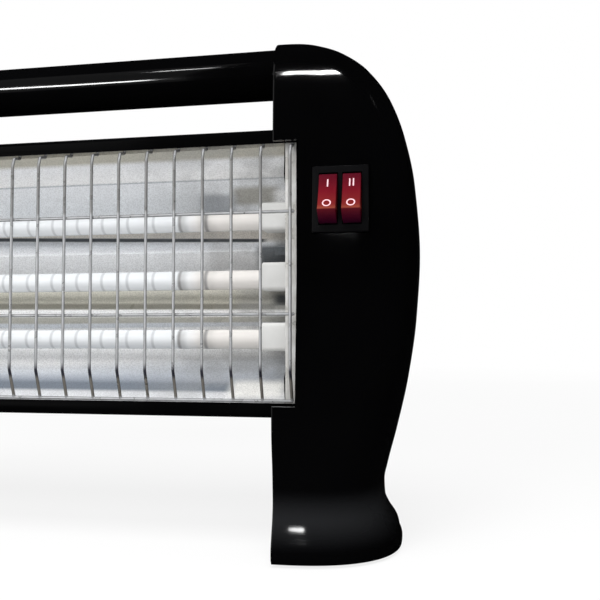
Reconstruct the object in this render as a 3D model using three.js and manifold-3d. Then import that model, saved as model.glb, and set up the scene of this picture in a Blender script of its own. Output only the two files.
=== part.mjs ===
// A free-standing quartz heater. Two glossy side casings with flared feet carry a sheet housing,
// which holds a folded reflector, three quartz tubes and a wire guard. A round handle joins the
// casings at the top, and a double rocker switch sits in the right one.
// Millimetres. X runs along the heater, Y to its back and Z up, from the middle of the floor box.
import * as THREE from "three";
import { mergeVertices } from "three/addons/utils/BufferGeometryUtils.js";
import Module from "manifold-3d";

const wasm = await Module();
wasm.setup();

// Whole heater
const overallHeight = 247.5;
const overallDepth = 118;
const clearance = 0.3;
const cutOverrun = 12;

// Head length, and how far in from the housing's ends the casings' rims lie
const housingHalfLength = 147.4;
const rimSetIn = 11;
const rimLean = 3;

// Side casings
const casingWidth = 67.4;
const casingWall = 2.5;
const casingFloor = 3;
const footProud = 1.5;
const casingRidgeShare = -0.254;
// Each row: height, width, front reach, back reach as shares, then how square the section is.
const casingShares = [
  [0.0, 0.828, 0.984, 0.985, 2.5],
  [0.008, 0.813, 1.0, 1.0, 2.5],
  [0.022, 0.806, 0.997, 0.99, 2.5],
  [0.048, 0.749, 0.963, 0.94, 2.5],
  [0.08, 0.707, 0.913, 0.8, 2.6],
  [0.112, 0.704, 0.889, 0.695, 2.7],
  [0.153, 0.736, 0.888, 0.645, 2.9],
  [0.221, 0.806, 0.904, 0.62, 3.2],
  [0.321, 0.895, 0.876, 0.61, 3.8],
  [0.442, 0.965, 0.822, 0.593, 4.2],
  [0.582, 1.0, 0.761, 0.56, 4.5],
  [0.703, 0.975, 0.707, 0.525, 4.5],
  [0.795, 0.913, 0.667, 0.485, 4.2],
  [0.871, 0.815, 0.63, 0.42, 3.8],
  [0.932, 0.662, 0.59, 0.32, 3.4],
  [0.968, 0.495, 0.533, 0.17, 3.0],
  [0.988, 0.337, 0.44, 0.0, 2.7],
  [0.9976, 0.226, 0.352, -0.1, 2.5],
  [1.0, 0.158, 0.3, -0.17, 2.4],
];
const roofShare = 0.968;

// Inner covers and their screws
const coverSetBack = 0.8;
const innerCoverThickness = 1.6;
const innerCoverGap = 0.6;
const bossRadius = 3.5;
const bossBoreDepth = 14;
const coverScrewLength = 10;
const screwRadius = 1.3;
const screwHeadRadius = 2.9;
const screwHeadHeight = 1.8;
const screwHeadDomeShare = 0.55;
const coverBossShares = [
  { name: "front", depth: -0.64, height: 0.05 },
  { name: "rear", depth: 0.5, height: 0.05 },
  { name: "middle", depth: 0.4, height: 0.43 },
  { name: "top", depth: 0.13, height: 0.85 },
];

// Rubber feet
const footRadius = 6;
const footHeight = 2.8;
const footInset = 21.6;
const frontFootSetback = 17;
const rearFootSetback = 19;

// Handle
const handleRadius = 12.3;
const handleWall = 1.5;
const handleDrop = 14.1;
const handlePlugLength = 12;
const handleScrewRadius = 1.8;
const handleScrewHeadRadius = 4;
const handleScrewHeadHeight = 2.4;
const handleScrewLength = 11;

// Heater head, which leans back a little between the casings
const headTilt = THREE.MathUtils.degToRad(1.35);
const roomAboveHead = 46.5;
const roomBelowHead = 63;
const headRecess = 8.8;
const roomBehindHead = 19.1;
const sheet = 1.2;
const housingCorner = 3;
const lipHeight = 7.1;
const notchCover = 0.9;
const ventColumns = 14;
const ventRows = 3;
const ventLength = 13;
const ventHeight = 3.2;
const ventMarginX = 20.6;
const ventMarginZ = 41.4;

// Reflector
const thinSheet = 0.8;
const reflectorLipDepth = 5;
const reflectorWallSetIn = 7.6;
const reflectorCreaseSetIn = 17.9;
const reflectorTroughShare = 0.596;
const reflectorCreaseShare = 0.423;
const reflectorRidgeShare = 0.442;
const reflectorTabHeight = 5;
const reflectorEndGap = 4.3;
const troughSteps = 6;

// Reflector ends
const endPlateFront = 3.4;
const endPlateBehind = 3;
const endFlangeGap = 3.2;
const endFlangeWidth = 5.6;

// Quartz tubes with their coils and caps
const tubePitchShare = 0.586;
const tubeRise = 11;
const tubeDrop = 2;
const tubeRadius = 4.9;
const tubeBoreRadius = 3.9;
const coilRadius = 2.6;
const coilSetIn = 29.9;
const pinRadius = 0.8;
const pinProud = 6;
const capSide = 14;
const capCorner = 2;
const capLift = 1.2;
const capLength = 13.4;
const capSocketDepth = 8;
const capNeckRadius = 4.5;
const capNeckProud = 3.4;

// Straps on the end pins
const strapWidth = 8;
const strapOverhang = 5;

// Guard
const wireRadius = 0.75;
const guardEndGap = 4.8;
const guardSpaces = 20;
const guardReach = 4.2;
const guardTopSlope = 6.2;
const guardBottomSlope = 15.2;
const guardTopLean = 1.3;
const guardHookDrop = 1.25;
const guardHookRise = 2.7;
const guardHookDepth = 2.35;
const guardRungShares = [0.458, -0.323];
const guardWireStub = 1.6;
const guardRimDepth = 0.6;

// Double rocker switch, which leans with the casing's face
const switchTilt = THREE.MathUtils.degToRad(6);
const switchInset = 20.1;
const switchRise = 33;
const bezelProud = 1.4;
const bezelWidth = 26.2;
const bezelHeight = 31.2;
const bezelThickness = 2;
const bezelCorner = 0.8;
const switchBodyWidth = 24;
const switchBodyHeight = 28;
const switchBodyDepth = 17;
const rockerWidth = 8.4;
const rockerPitch = 11;
const rockerRadius = 11.9;
const rockerPivotDepth = 3;
const rockerEdgeAngle = THREE.MathUtils.degToRad(39.4);
const rockerSkirtAngle = THREE.MathUtils.degToRad(-8);
const rockerTilt = THREE.MathUtils.degToRad(18);
const rockerDish = 0.7;
const rockerHubDepth = 6;
const rockerHubHalf = 3;
const rockerStubRadius = 1.2;
const rockerStubLength = 0.8;
const wellDepth = 12.6;
const wellMargin = 0.4;
const tabWidth = 4.8;
const tabThickness = 0.8;
const tabLength = 8;
const tabRise = 6;

// Terminal block, behind the inner cover and under the head
const terminalDrop = 27;
const terminalWidth = 10;
const terminalDepth = 18;
const terminalHeight = 12;
const terminalBackRoom = 1.6;
const terminalPitch = 8;
const terminalWellRadius = 2;
const terminalCrown = 2;

// Cord gland
const glandInset = 15.6;
const glandFlangeRadius = 7;
const glandFlange = 2;
const glandRadius = 5;
const glandLength = 9;
const glandBoreRadius = 3.6;

// Tilt switch, in front of the terminal block
const tiltDrop = 11;
const tiltHeight = 34;
const tiltHalfWidth = 17;
const tiltTerminalGap = 3;
const tiltCaseDepth = 14;
const tiltCaseWall = 1.2;
const tiltPinDrop = 6;
const tiltPinRadius = 1;
const tiltPinLength = 10;
const pendulumLength = 20;
const pendulumWeightRadius = 5;
const pendulumThickness = 5;
const pendulumArmWidth = 3;
const pendulumEyeRadius = 2.6;

// Thermal cut-out
const cutoutX = 60;
const cutoutHeight = 18;
const cutoutRadius = 8;
const cutoutBase = 2.5;
const cutoutCanRadius = 5.5;
const cutoutCanHeight = 4;

// Internal leads
const leadRadius = 1.1;
const leadBackRoom = 8;
const leadRunSetIn = 24;

// Facet counts
const sectionSteps = 12;
const roundSides = 20;
const smallSides = 8;
const wireSides = 6;
const leadSteps = 14;
const arcSteps = 3;

const glossBlack = { color: 0x070708, roughness: 0.12, metalness: 0.0 };
const matBlack = { color: 0x151516, roughness: 0.5, metalness: 0.0 };
const blackPaint = { color: 0x0a0a0b, roughness: 0.3, metalness: 0.2 };
const brightSheet = { color: 0xc9cbcc, roughness: 0.28, metalness: 1.0 };
const chromeWire = { color: 0xd5d7d8, roughness: 0.15, metalness: 1.0 };
const milkyQuartz = { color: 0xe6e6e2, roughness: 0.25, metalness: 0.0 };
const whiteCeramic = { color: 0xe9e7e1, roughness: 0.55, metalness: 0.0 };
const redRocker = { color: 0x9a1420, roughness: 0.25, metalness: 0.0 };
const rubber = { color: 0x1c1c1c, roughness: 0.85, metalness: 0.0 };
const zincSteel = { color: 0xa9abad, roughness: 0.4, metalness: 1.0 };
const brass = { color: 0xb89a55, roughness: 0.35, metalness: 1.0 };
const resistanceWire = { color: 0x5d5853, roughness: 0.5, metalness: 1.0 };
const leadSleeve = { color: 0xe3ded2, roughness: 0.7, metalness: 0.0 };

const halfDepth = overallDepth / 2;
const casingHeight = overallHeight - footProud;
const casingRidgeY = halfDepth * casingRidgeShare;

// Along X, outwards from the rim
const rimAtFoot = housingHalfLength - rimSetIn;
const rimAtTop = rimAtFoot - rimLean;
const innerCoverX = rimAtFoot + coverSetBack;
const coverBack = innerCoverX + innerCoverThickness;
const notchX = housingHalfLength - notchCover;
const guardEndX = housingHalfLength - guardEndGap;
const endFlangeX = housingHalfLength - endFlangeGap;
const endPlateX = endFlangeX - endFlangeWidth;
const reflectorHalfLength = endPlateX - reflectorEndGap;
const capStart = endPlateX - clearance - capLength;
const capNeckEnd = endPlateX + capNeckProud;
const coilHalfLength = capStart - coilSetIn;
const pinHalfLength = capNeckEnd + pinProud;

// Up the heater, and up the head from its middle
const housingHalfHeight = (overallHeight - roomAboveHead - roomBelowHead) / 2;
const headZ = roomBelowHead + housingHalfHeight;
const handleZ = overallHeight - handleDrop;
const openingHalfHeight = housingHalfHeight - lipHeight;
const reflectorWallTop = housingHalfHeight - reflectorWallSetIn;
const reflectorCreaseHeight = housingHalfHeight - reflectorCreaseSetIn;
const tubePitch = reflectorCreaseHeight * tubePitchShare;

// Into the heater, and into the head from its lips
const headY = frontOfCasing(headZ) + headRecess;
const housingDepth = backOfCasing(headZ) - roomBehindHead - headY;
const reflectorTroughDepth = housingDepth * reflectorTroughShare;
const reflectorCreaseDepth = housingDepth * reflectorCreaseShare;
const reflectorRidgeDepth = housingDepth * reflectorRidgeShare;
const endPlateDepth = reflectorTroughDepth + endPlateBehind;
const tubeDepth = reflectorTroughDepth - tubeRise;

// Solids and geometries

function solid(geometry) {
  const bare = new THREE.BufferGeometry();
  bare.setAttribute("position", geometry.getAttribute("position").clone());
  if (geometry.index) bare.setIndex(geometry.index.clone());
  const merged = mergeVertices(bare);
  return new wasm.Manifold(
    new wasm.Mesh({
      numProp: 3,
      vertProperties: new Float32Array(merged.attributes.position.array),
      triVerts: new Uint32Array(merged.index.array),
    }),
  );
}

function geometryOf(made) {
  const mesh = made.getMesh();
  const geometry = new THREE.BufferGeometry();
  geometry.setAttribute("position", new THREE.BufferAttribute(mesh.vertProperties, 3));
  geometry.setIndex(new THREE.BufferAttribute(mesh.triVerts, 1));
  geometry.computeVertexNormals();
  return geometry;
}

function join(geometries) {
  return geometries.map(solid).reduce((sum, next) => sum.add(next));
}

function node(name, geometry, look) {
  const mesh = new THREE.Mesh(geometry, new THREE.MeshStandardMaterial(look));
  mesh.name = name;
  return mesh;
}

// A copy of a piece made for the right side, turned into its left-hand twin.
function mirrored(geometry) {
  const twin = geometry.index ? geometry.toNonIndexed() : geometry.clone();
  twin.scale(-1, 1, 1);
  const corners = twin.attributes.position;
  for (let i = 0; i < corners.count; i += 3) {
    const [a, b] = [i + 1, i + 2].map((k) => new THREE.Vector3().fromBufferAttribute(corners, k));
    corners.setXYZ(i + 1, b.x, b.y, b.z);
    corners.setXYZ(i + 2, a.x, a.y, a.z);
  }
  twin.computeVertexNormals();
  return twin;
}

// A box between two corners given as [x, y, z].
function block(low, high) {
  const size = high.map((value, i) => value - low[i]);
  const geometry = new THREE.BoxGeometry(...size);
  return geometry.translate(...low.map((value, i) => value + size[i] / 2));
}

// A round bar between two points.
function rod(start, end, radius, sides) {
  const way = end.clone().sub(start);
  const geometry = new THREE.CylinderGeometry(radius, radius, way.length(), sides);
  const turn = new THREE.Quaternion().setFromUnitVectors(
    new THREE.Vector3(0, 1, 0),
    way.normalize(),
  );
  geometry.applyQuaternion(turn);
  return geometry.translate(...start.clone().lerp(end, 1 / 2).toArray());
}

function bar(x, y, z, length, radius, sides) {
  return rod(new THREE.Vector3(x, y, z), new THREE.Vector3(x + length, y, z), radius, sides);
}

// An outline in the YZ plane, drawn as [y, z] points, made solid from one X to another.
function plateAcrossX(outline, fromX, toX) {
  const shape = new THREE.Shape(outline.map(([y, z]) => new THREE.Vector2(y, z)));
  return profileAlongX(shape, fromX, toX);
}

function profileAlongX(shape, fromX, toX) {
  const geometry = new THREE.ExtrudeGeometry(shape, {
    depth: toX - fromX,
    bevelEnabled: false,
    curveSegments: arcSteps,
  });
  geometry.applyMatrix4(new THREE.Matrix4().set(0, 0, 1, 0, 1, 0, 0, 0, 0, 1, 0, 0, 0, 0, 0, 1));
  return geometry.translate(fromX, 0, 0);
}

// A lathe profile of [radius, height] points, turned round the X axis.
function turnedAlongX(profile, sides) {
  const points = profile.map(([radius, height]) => new THREE.Vector2(radius, height));
  const geometry = new THREE.LatheGeometry(points, sides);
  return geometry.rotateZ(-Math.PI / 2);
}

// A screw whose head sits at the origin and whose shank runs along +X.
function screw(radius, length, headRadius, headHeight) {
  return turnedAlongX(
    [
      [0, -headHeight],
      [headRadius * screwHeadDomeShare, -headHeight],
      [headRadius, -headHeight * screwHeadDomeShare],
      [headRadius, 0],
      [radius, 0],
      [radius, length],
      [0, length],
    ],
    smallSides,
  );
}

function circlePoint(radius, angle) {
  return [radius * Math.cos(angle), radius * Math.sin(angle)];
}

// The head's frame: X stays, Y runs into the head and Z up its leaning face.
const headFrame = new THREE.Matrix4()
  .makeRotationX(-headTilt)
  .setPosition(new THREE.Vector3(0, headY, headZ));

function headPoint(x, y, z) {
  return new THREE.Vector3(x, y, z).applyMatrix4(headFrame);
}

function inHead(geometry) {
  return geometry.clone().applyMatrix4(headFrame);
}

// The switch's frame: X stays, Y runs into the casing and Z up its leaning face.
const switchX = notchX + switchInset;
const switchZ = headZ + switchRise;
const switchFrame = new THREE.Matrix4()
  .makeRotationX(-switchTilt)
  .setPosition(new THREE.Vector3(switchX, frontOfCasing(switchZ) - bezelProud, switchZ));

function switchPoint(x, y, z) {
  return new THREE.Vector3(x, y, z).applyMatrix4(switchFrame);
}

function inSwitch(geometry) {
  return geometry.clone().applyMatrix4(switchFrame);
}

// Side casings

function rimX(share) {
  return rimAtFoot + (rimAtTop - rimAtFoot) * share;
}

// One level section of the casing, from the front of its rim round the outside to the back.
function casingRing(row, inset, rimReach, z) {
  const [share, widthShare, frontShare, backShare, squareness] = row;
  const rim = rimX(share);
  const width = casingWidth * widthShare - inset;
  const front = halfDepth * frontShare + casingRidgeY - inset;
  const back = halfDepth * backShare - casingRidgeY - inset;
  const power = 2 / squareness;
  const ring = [];
  for (let i = 0; i <= sectionSteps; i += 1) {
    const angle = -Math.PI / 2 + (Math.PI * i) / sectionSteps;
    const out = Math.abs(Math.cos(angle)) ** power;
    const along = Math.sign(angle) * Math.abs(Math.sin(angle)) ** power;
    const depth = along < 0 ? front : back;
    ring.push(new THREE.Vector3(rim + width * out, casingRidgeY + along * depth, z));
  }
  ring[0].x = rim;
  ring[sectionSteps].x = rim;
  if (rimReach === 0) return ring;
  const first = ring[0].clone().setX(rim - rimReach);
  const last = ring[sectionSteps].clone().setX(rim - rimReach);
  return [first, ...ring, last];
}

// A closed skin over level rings that run the same way round, lowest first.
function loft(rings) {
  const corners = [];
  const count = rings[0].length;
  const face = (...points) => points.forEach((point) => corners.push(...point.toArray()));
  const middle = (ring) =>
    ring.reduce((sum, point) => sum.add(point), new THREE.Vector3()).divideScalar(ring.length);
  rings.slice(1).forEach((upper, level) => {
    const lower = rings[level];
    for (let i = 0; i < count; i += 1) {
      const next = (i + 1) % count;
      face(lower[i], lower[next], upper[next]);
      face(lower[i], upper[next], upper[i]);
    }
  });
  const [bottom, top] = [rings[0], rings[rings.length - 1]];
  for (let i = 0; i < count; i += 1) {
    const next = (i + 1) % count;
    face(middle(bottom), bottom[next], bottom[i]);
    face(middle(top), top[i], top[next]);
  }
  const geometry = new THREE.BufferGeometry();
  geometry.setAttribute("position", new THREE.Float32BufferAttribute(corners, 3));
  return geometry;
}

function casingZ(share) {
  return footProud + casingHeight * share;
}

function outerCasing() {
  return solid(loft(casingShares.map((row) => casingRing(row, 0, 0, casingZ(row[0])))));
}

// The row of shares at any height, between the two listed rows around it.
function rowAt(z) {
  const share = (z - footProud) / casingHeight;
  const upper = Math.max(1, casingShares.findIndex((row) => row[0] >= share));
  const [low, high] = [casingShares[upper - 1], casingShares[upper]];
  const part = (share - low[0]) / (high[0] - low[0]);
  return low.map((value, column) => value + (high[column] - value) * part);
}

// The hollow, which runs out through the rim and stops under the roof.
function casingHollow() {
  const floorZ = footProud + casingFloor;
  const rows = casingShares.filter(([share]) => casingZ(share) > floorZ && share <= roofShare);
  const rings = [rowAt(floorZ), ...rows];
  return solid(
    loft(rings.map((row) => casingRing(row, casingWall, cutOverrun, casingZ(row[0])))),
  );
}

function casingBosses(outer) {
  return coverBosses().map(({ y, z }) =>
    solid(bar(coverBack + clearance, y, z, casingWidth, bossRadius, smallSides)).intersect(outer),
  );
}

function coverBosses() {
  return coverBossShares.map(({ name, depth, height }) => ({
    name,
    y: halfDepth * depth,
    z: casingZ(height),
  }));
}

function casingShell() {
  const outer = outerCasing();
  const bosses = casingBosses(outer);
  let shell = outer.subtract(casingHollow());
  bosses.forEach((boss) => {
    shell = shell.add(boss);
  });
  coverBosses().forEach(({ y, z }) => {
    const bore = bar(coverBack, y, z, bossBoreDepth, screwRadius + clearance, smallSides);
    shell = shell.subtract(solid(bore));
  });
  const notch = block(
    [rimAtTop - cutOverrun, -cutOverrun, -openingHalfHeight - clearance],
    [notchX, 0, openingHalfHeight + clearance],
  );
  const handleSeat = bar(
    rimAtTop - cutOverrun,
    casingRidgeY,
    handleZ,
    innerCoverX - rimAtTop + cutOverrun,
    handleRadius + clearance,
    roundSides,
  );
  shell = shell.subtract(solid(inHead(notch))).subtract(solid(handleSeat));
  footPlaces().forEach(([, y]) => {
    const seat = new THREE.CylinderGeometry(
      footRadius + clearance,
      footRadius + clearance,
      footHeight + clearance,
      roundSides,
    );
    seat.rotateX(Math.PI / 2);
    seat.translate(rimAtFoot + footInset, y, (footHeight + clearance) / 2);
    shell = shell.subtract(solid(seat));
  });
  return shell;
}

// The right casing also holds the switch and the cord gland.
function rightCasingShell() {
  const pocket = block(
    [-bezelWidth / 2 - clearance, -cutOverrun, -bezelHeight / 2 - clearance],
    [bezelWidth / 2 + clearance, bezelThickness + clearance, bezelHeight / 2 + clearance],
  );
  const cutout = block(
    [-switchBodyWidth / 2 - clearance, -cutOverrun, -switchBodyHeight / 2 - clearance],
    [switchBodyWidth / 2 + clearance, cutOverrun, switchBodyHeight / 2 + clearance],
  );
  const { x, y, z } = glandPlace();
  const glandHole = rod(
    new THREE.Vector3(x, y - cutOverrun, z),
    new THREE.Vector3(x, y + cutOverrun, z),
    glandRadius + clearance,
    roundSides,
  );
  return casingShell()
    .subtract(solid(inSwitch(pocket)))
    .subtract(solid(inSwitch(cutout)))
    .subtract(solid(glandHole));
}

function glandPlace() {
  const z = roomBelowHead - tiltDrop - tiltPinDrop + clearance;
  return new THREE.Vector3(rimAtFoot + glandInset, backOfCasing(z), z);
}

function frontOfCasing(z) {
  return -halfDepth * rowAt(z)[2];
}

function backOfCasing(z) {
  return halfDepth * rowAt(z)[3];
}

function innerCover() {
  const inset = casingWall + innerCoverGap;
  const floorZ = footProud + casingFloor + clearance;
  const roofZ = casingZ(roofShare) - clearance;
  const levels = casingShares.map(([share]) => casingZ(share));
  const heights = [floorZ, ...levels.filter((z) => z > floorZ && z < roofZ), roofZ];
  const front = heights.map((z) => [frontOfCasing(z) + inset, z]);
  const back = heights.map((z) => [backOfCasing(z) - inset, z]);
  const outline = [...front.reverse(), ...back];
  const window = block(
    [innerCoverX - cutOverrun, -cutOverrun, -housingHalfHeight - clearance],
    [coverBack + cutOverrun, housingDepth + clearance, housingHalfHeight + clearance],
  );
  let cover = solid(plateAcrossX(outline, innerCoverX, coverBack)).subtract(solid(inHead(window)));
  const holes = coverBosses().map(({ y, z }) => ({ y, z, radius: screwRadius + clearance }));
  holes.push({ y: casingRidgeY, z: handleZ, radius: handleScrewRadius + clearance });
  holes.forEach(({ y, z, radius }) => {
    const hole = bar(innerCoverX - cutOverrun, y, z, cutOverrun * 2, radius, smallSides);
    cover = cover.subtract(solid(hole));
  });
  return cover;
}

function addSides(group, rightShell, leftShell, cover) {
  group.add(node("right_casing_shell", geometryOf(rightShell), glossBlack));
  group.add(node("left_casing_shell", mirrored(geometryOf(leftShell)), glossBlack));
  group.add(node("right_inner_cover", geometryOf(cover), matBlack));
  group.add(node("left_inner_cover", mirrored(geometryOf(cover)), matBlack));
}

function coverScrew({ y, z }) {
  const geometry = screw(screwRadius, coverScrewLength, screwHeadRadius, screwHeadHeight);
  return geometry.translate(innerCoverX - clearance, y, z);
}

function addCoverScrews(group) {
  coverBosses().forEach((boss) => {
    group.add(node(`right_cover_screw_${boss.name}`, coverScrew(boss), zincSteel));
    group.add(node(`left_cover_screw_${boss.name}`, mirrored(coverScrew(boss)), zincSteel));
  });
}

function footPlaces() {
  return [
    ["front", -halfDepth + frontFootSetback],
    ["rear", halfDepth - rearFootSetback],
  ];
}

function addFeet(group) {
  const x = rimAtFoot + footInset;
  footPlaces().forEach(([place, y]) => {
    [["right", x], ["left", -x]].forEach(([side, across]) => {
      const geometry = new THREE.CylinderGeometry(footRadius, footRadius, footHeight, roundSides);
      geometry.rotateX(Math.PI / 2);
      const foot = node(`${side}_${place}_foot`, geometry, rubber);
      foot.position.set(across, y, footHeight / 2);
      group.add(foot);
    });
  });
}

function addGland(group) {
  const profile = [
    [glandBoreRadius, -glandLength],
    [glandRadius, -glandLength],
    [glandRadius, 0],
    [glandFlangeRadius, 0],
    [glandFlangeRadius, glandFlange],
    [glandBoreRadius, glandFlange],
    [glandBoreRadius, -glandLength],
  ].map(([radius, height]) => new THREE.Vector2(radius, height));
  const gland = node("cord_gland", new THREE.LatheGeometry(profile, roundSides), matBlack);
  gland.position.copy(glandPlace());
  gland.position.y += clearance;
  group.add(gland);
}

// Handle

function addHandle(group) {
  const end = innerCoverX - clearance;
  const bore = handleRadius - handleWall;
  const tube = turnedAlongX(
    [
      [bore, -end],
      [handleRadius, -end],
      [handleRadius, end],
      [bore, end],
      [bore, -end],
    ],
    roundSides,
  );
  const handle = new THREE.Group();
  handle.position.set(0, casingRidgeY, handleZ);
  handle.add(node("handle_tube", tube, blackPaint));
  const plugRadius = bore - clearance;
  const plugBore = handleScrewRadius + clearance;
  const plug = turnedAlongX(
    [
      [plugBore, end - handlePlugLength],
      [plugRadius, end - handlePlugLength],
      [plugRadius, end],
      [plugBore, end],
      [plugBore, end - handlePlugLength],
    ],
    roundSides,
  );
  handle.add(node("right_handle_plug", plug, matBlack));
  handle.add(node("left_handle_plug", mirrored(plug), matBlack));
  const bolt = screw(
    handleScrewRadius,
    handleScrewLength,
    handleScrewHeadRadius,
    handleScrewHeadHeight,
  );
  bolt.rotateZ(Math.PI).translate(coverBack + clearance, 0, 0);
  handle.add(node("right_handle_screw", bolt, zincSteel));
  handle.add(node("left_handle_screw", mirrored(bolt), zincSteel));
  group.add(handle);
}

// Housing, open at the front between its lips, with vents in its back

function housingProfile() {
  const [depth, height, corner] = [housingDepth, housingHalfHeight, housingCorner];
  const inner = corner - sheet;
  const shape = new THREE.Shape();
  const quarter = Math.PI / 2;
  shape.moveTo(0, -openingHalfHeight);
  shape.lineTo(0, -height + corner);
  shape.absarc(corner, -height + corner, corner, 2 * quarter, 3 * quarter, false);
  shape.absarc(depth - corner, -height + corner, corner, 3 * quarter, 4 * quarter, false);
  shape.absarc(depth - corner, height - corner, corner, 0, quarter, false);
  shape.absarc(corner, height - corner, corner, quarter, 2 * quarter, false);
  shape.lineTo(0, openingHalfHeight);
  shape.lineTo(sheet, openingHalfHeight);
  shape.absarc(corner, height - corner, inner, 2 * quarter, quarter, true);
  shape.absarc(depth - corner, height - corner, inner, quarter, 0, true);
  shape.absarc(depth - corner, -height + corner, inner, 4 * quarter, 3 * quarter, true);
  shape.absarc(corner, -height + corner, inner, 3 * quarter, 2 * quarter, true);
  shape.lineTo(sheet, -openingHalfHeight);
  return shape;
}

function housingShell() {
  let housing = solid(profileAlongX(housingProfile(), -housingHalfLength, housingHalfLength));
  const pitchX = (2 * (housingHalfLength - ventMarginX) - ventLength) / (ventColumns - 1);
  const pitchZ = (2 * (housingHalfHeight - ventMarginZ) - ventHeight) / (ventRows - 1);
  for (let column = 0; column < ventColumns; column += 1) {
    const x = (column - (ventColumns - 1) / 2) * pitchX;
    for (let row = 0; row < ventRows; row += 1) {
      const z = (row - (ventRows - 1) / 2) * pitchZ;
      const vent = block(
        [x - ventLength / 2, housingDepth - sheet * 2, z - ventHeight / 2],
        [x + ventLength / 2, housingDepth + sheet, z + ventHeight / 2],
      );
      housing = housing.subtract(solid(vent));
    }
  }
  return housing;
}

// Reflector

function tubeHeight(index) {
  return -tubeDrop + (1 - index) * tubePitch;
}

// The reflector's face from top to bottom, as [depth, height] points.
function reflectorLine() {
  const edge = housingHalfHeight - sheet - clearance;
  const ridges = [0, 1].map((i) => (tubeHeight(i) + tubeHeight(i + 1)) / 2);
  const spans = [
    [reflectorCreaseHeight, ridges[0], reflectorCreaseDepth, reflectorRidgeDepth],
    [ridges[0], ridges[1], reflectorRidgeDepth, reflectorRidgeDepth],
    [ridges[1], -reflectorCreaseHeight, reflectorRidgeDepth, reflectorCreaseDepth],
  ];
  const line = [
    [reflectorLipDepth, edge],
    [reflectorLipDepth, reflectorWallTop],
    [reflectorCreaseDepth, reflectorCreaseHeight],
  ];
  spans.forEach(([top, bottom, topDepth, bottomDepth]) => {
    for (let i = 1; i <= troughSteps; i += 1) {
      const part = i / troughSteps;
      const rim = topDepth + (bottomDepth - topDepth) * part;
      const bulge = 4 * part * (1 - part);
      line.push([rim + (reflectorTroughDepth - rim) * bulge, top + (bottom - top) * part]);
    }
  });
  line.push([reflectorLipDepth, -reflectorWallTop], [reflectorLipDepth, -edge]);
  return line;
}

// A closed outline of one thickness behind an open line of points.
function sheetOutline(line, thickness) {
  const back = line.map(([depth, height], i) => {
    const before = line[Math.max(i - 1, 0)];
    const after = line[Math.min(i + 1, line.length - 1)];
    const way = new THREE.Vector2(after[0] - before[0], after[1] - before[1]).normalize();
    return [depth - way.y * thickness, height + way.x * thickness];
  });
  return [...line, ...back.reverse()];
}

function reflectorSolid() {
  const outline = sheetOutline(reflectorLine(), thinSheet);
  let body = solid(plateAcrossX(outline, -reflectorHalfLength, reflectorHalfLength));
  const reach = endPlateX - clearance;
  const ridges = [0, 1].map((i) => (tubeHeight(i) + tubeHeight(i + 1)) / 2);
  ridges.forEach((z) => {
    [-reach, reflectorHalfLength - reflectorTabHeight].forEach((x) => {
      const tab = block(
        [x, reflectorRidgeDepth, z - reflectorTabHeight / 2],
        [x + reach - reflectorHalfLength + reflectorTabHeight, reflectorRidgeDepth + thinSheet,
          z + reflectorTabHeight / 2],
      );
      body = body.add(solid(tab));
    });
  });
  return body;
}

function reflectorEnd() {
  const edge = housingHalfHeight - sheet - clearance;
  const plate = block(
    [endPlateX, endPlateFront, -edge],
    [endPlateX + thinSheet, endPlateDepth, edge],
  );
  const flange = block(
    [endPlateX, endPlateFront, -edge],
    [endFlangeX, endPlateFront + thinSheet, edge],
  );
  let end = join([plate, flange]);
  [0, 1, 2].forEach((index) => {
    const hole = bar(
      endPlateX - cutOverrun,
      tubeDepth,
      tubeHeight(index),
      cutOverrun * 2,
      capNeckRadius + clearance,
      roundSides,
    );
    end = end.subtract(solid(hole));
  });
  return end;
}

// Quartz tubes, heating coils and ceramic caps

function tubeRing(radius, bore, end) {
  return turnedAlongX(
    [
      [bore, -end],
      [radius, -end],
      [radius, end],
      [bore, end],
      [bore, -end],
    ],
    roundSides,
  );
}

function heatingCoil() {
  return turnedAlongX(
    [
      [0, -pinHalfLength],
      [pinRadius, -pinHalfLength],
      [pinRadius, -coilHalfLength],
      [coilRadius, -coilHalfLength],
      [coilRadius, coilHalfLength],
      [pinRadius, coilHalfLength],
      [pinRadius, pinHalfLength],
      [0, pinHalfLength],
    ],
    smallSides,
  );
}

function ceramicCap() {
  const half = capSide / 2;
  const shape = new THREE.Shape();
  const inner = half - capCorner;
  const [low, high] = [capLift - inner, capLift + inner];
  const quarter = Math.PI / 2;
  shape.absarc(inner, high, capCorner, 0, quarter, false);
  shape.absarc(-inner, high, capCorner, quarter, 2 * quarter, false);
  shape.absarc(-inner, low, capCorner, 2 * quarter, 3 * quarter, false);
  shape.absarc(inner, low, capCorner, 3 * quarter, 4 * quarter, false);
  const shoulder = endPlateX - clearance;
  const neck = bar(
    capStart + capSocketDepth,
    0,
    0,
    capNeckEnd - capStart - capSocketDepth,
    capNeckRadius,
    roundSides,
  );
  const socket = bar(
    capStart - cutOverrun,
    0,
    0,
    capSocketDepth + cutOverrun,
    tubeRadius + clearance,
    roundSides,
  );
  const pinHole = bar(capStart, 0, 0, cutOverrun * 2, pinRadius + clearance, smallSides);
  return join([profileAlongX(shape, capStart, shoulder), neck])
    .subtract(solid(socket))
    .subtract(solid(pinHole));
}

function addElements(group) {
  const tubeEnd = capStart + capSocketDepth - clearance;
  const cap = geometryOf(ceramicCap());
  ["upper", "middle", "lower"].forEach((level, index) => {
    const element = new THREE.Group();
    element.position.set(0, tubeDepth, tubeHeight(index));
    element.add(node(`quartz_tube_${level}`, tubeRing(tubeRadius, tubeBoreRadius, tubeEnd), milkyQuartz));
    element.add(node(`heating_coil_${level}`, heatingCoil(), resistanceWire));
    element.add(node(`right_cap_${level}`, cap, whiteCeramic));
    element.add(node(`left_cap_${level}`, mirrored(cap), whiteCeramic));
    group.add(element);
  });
}

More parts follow.
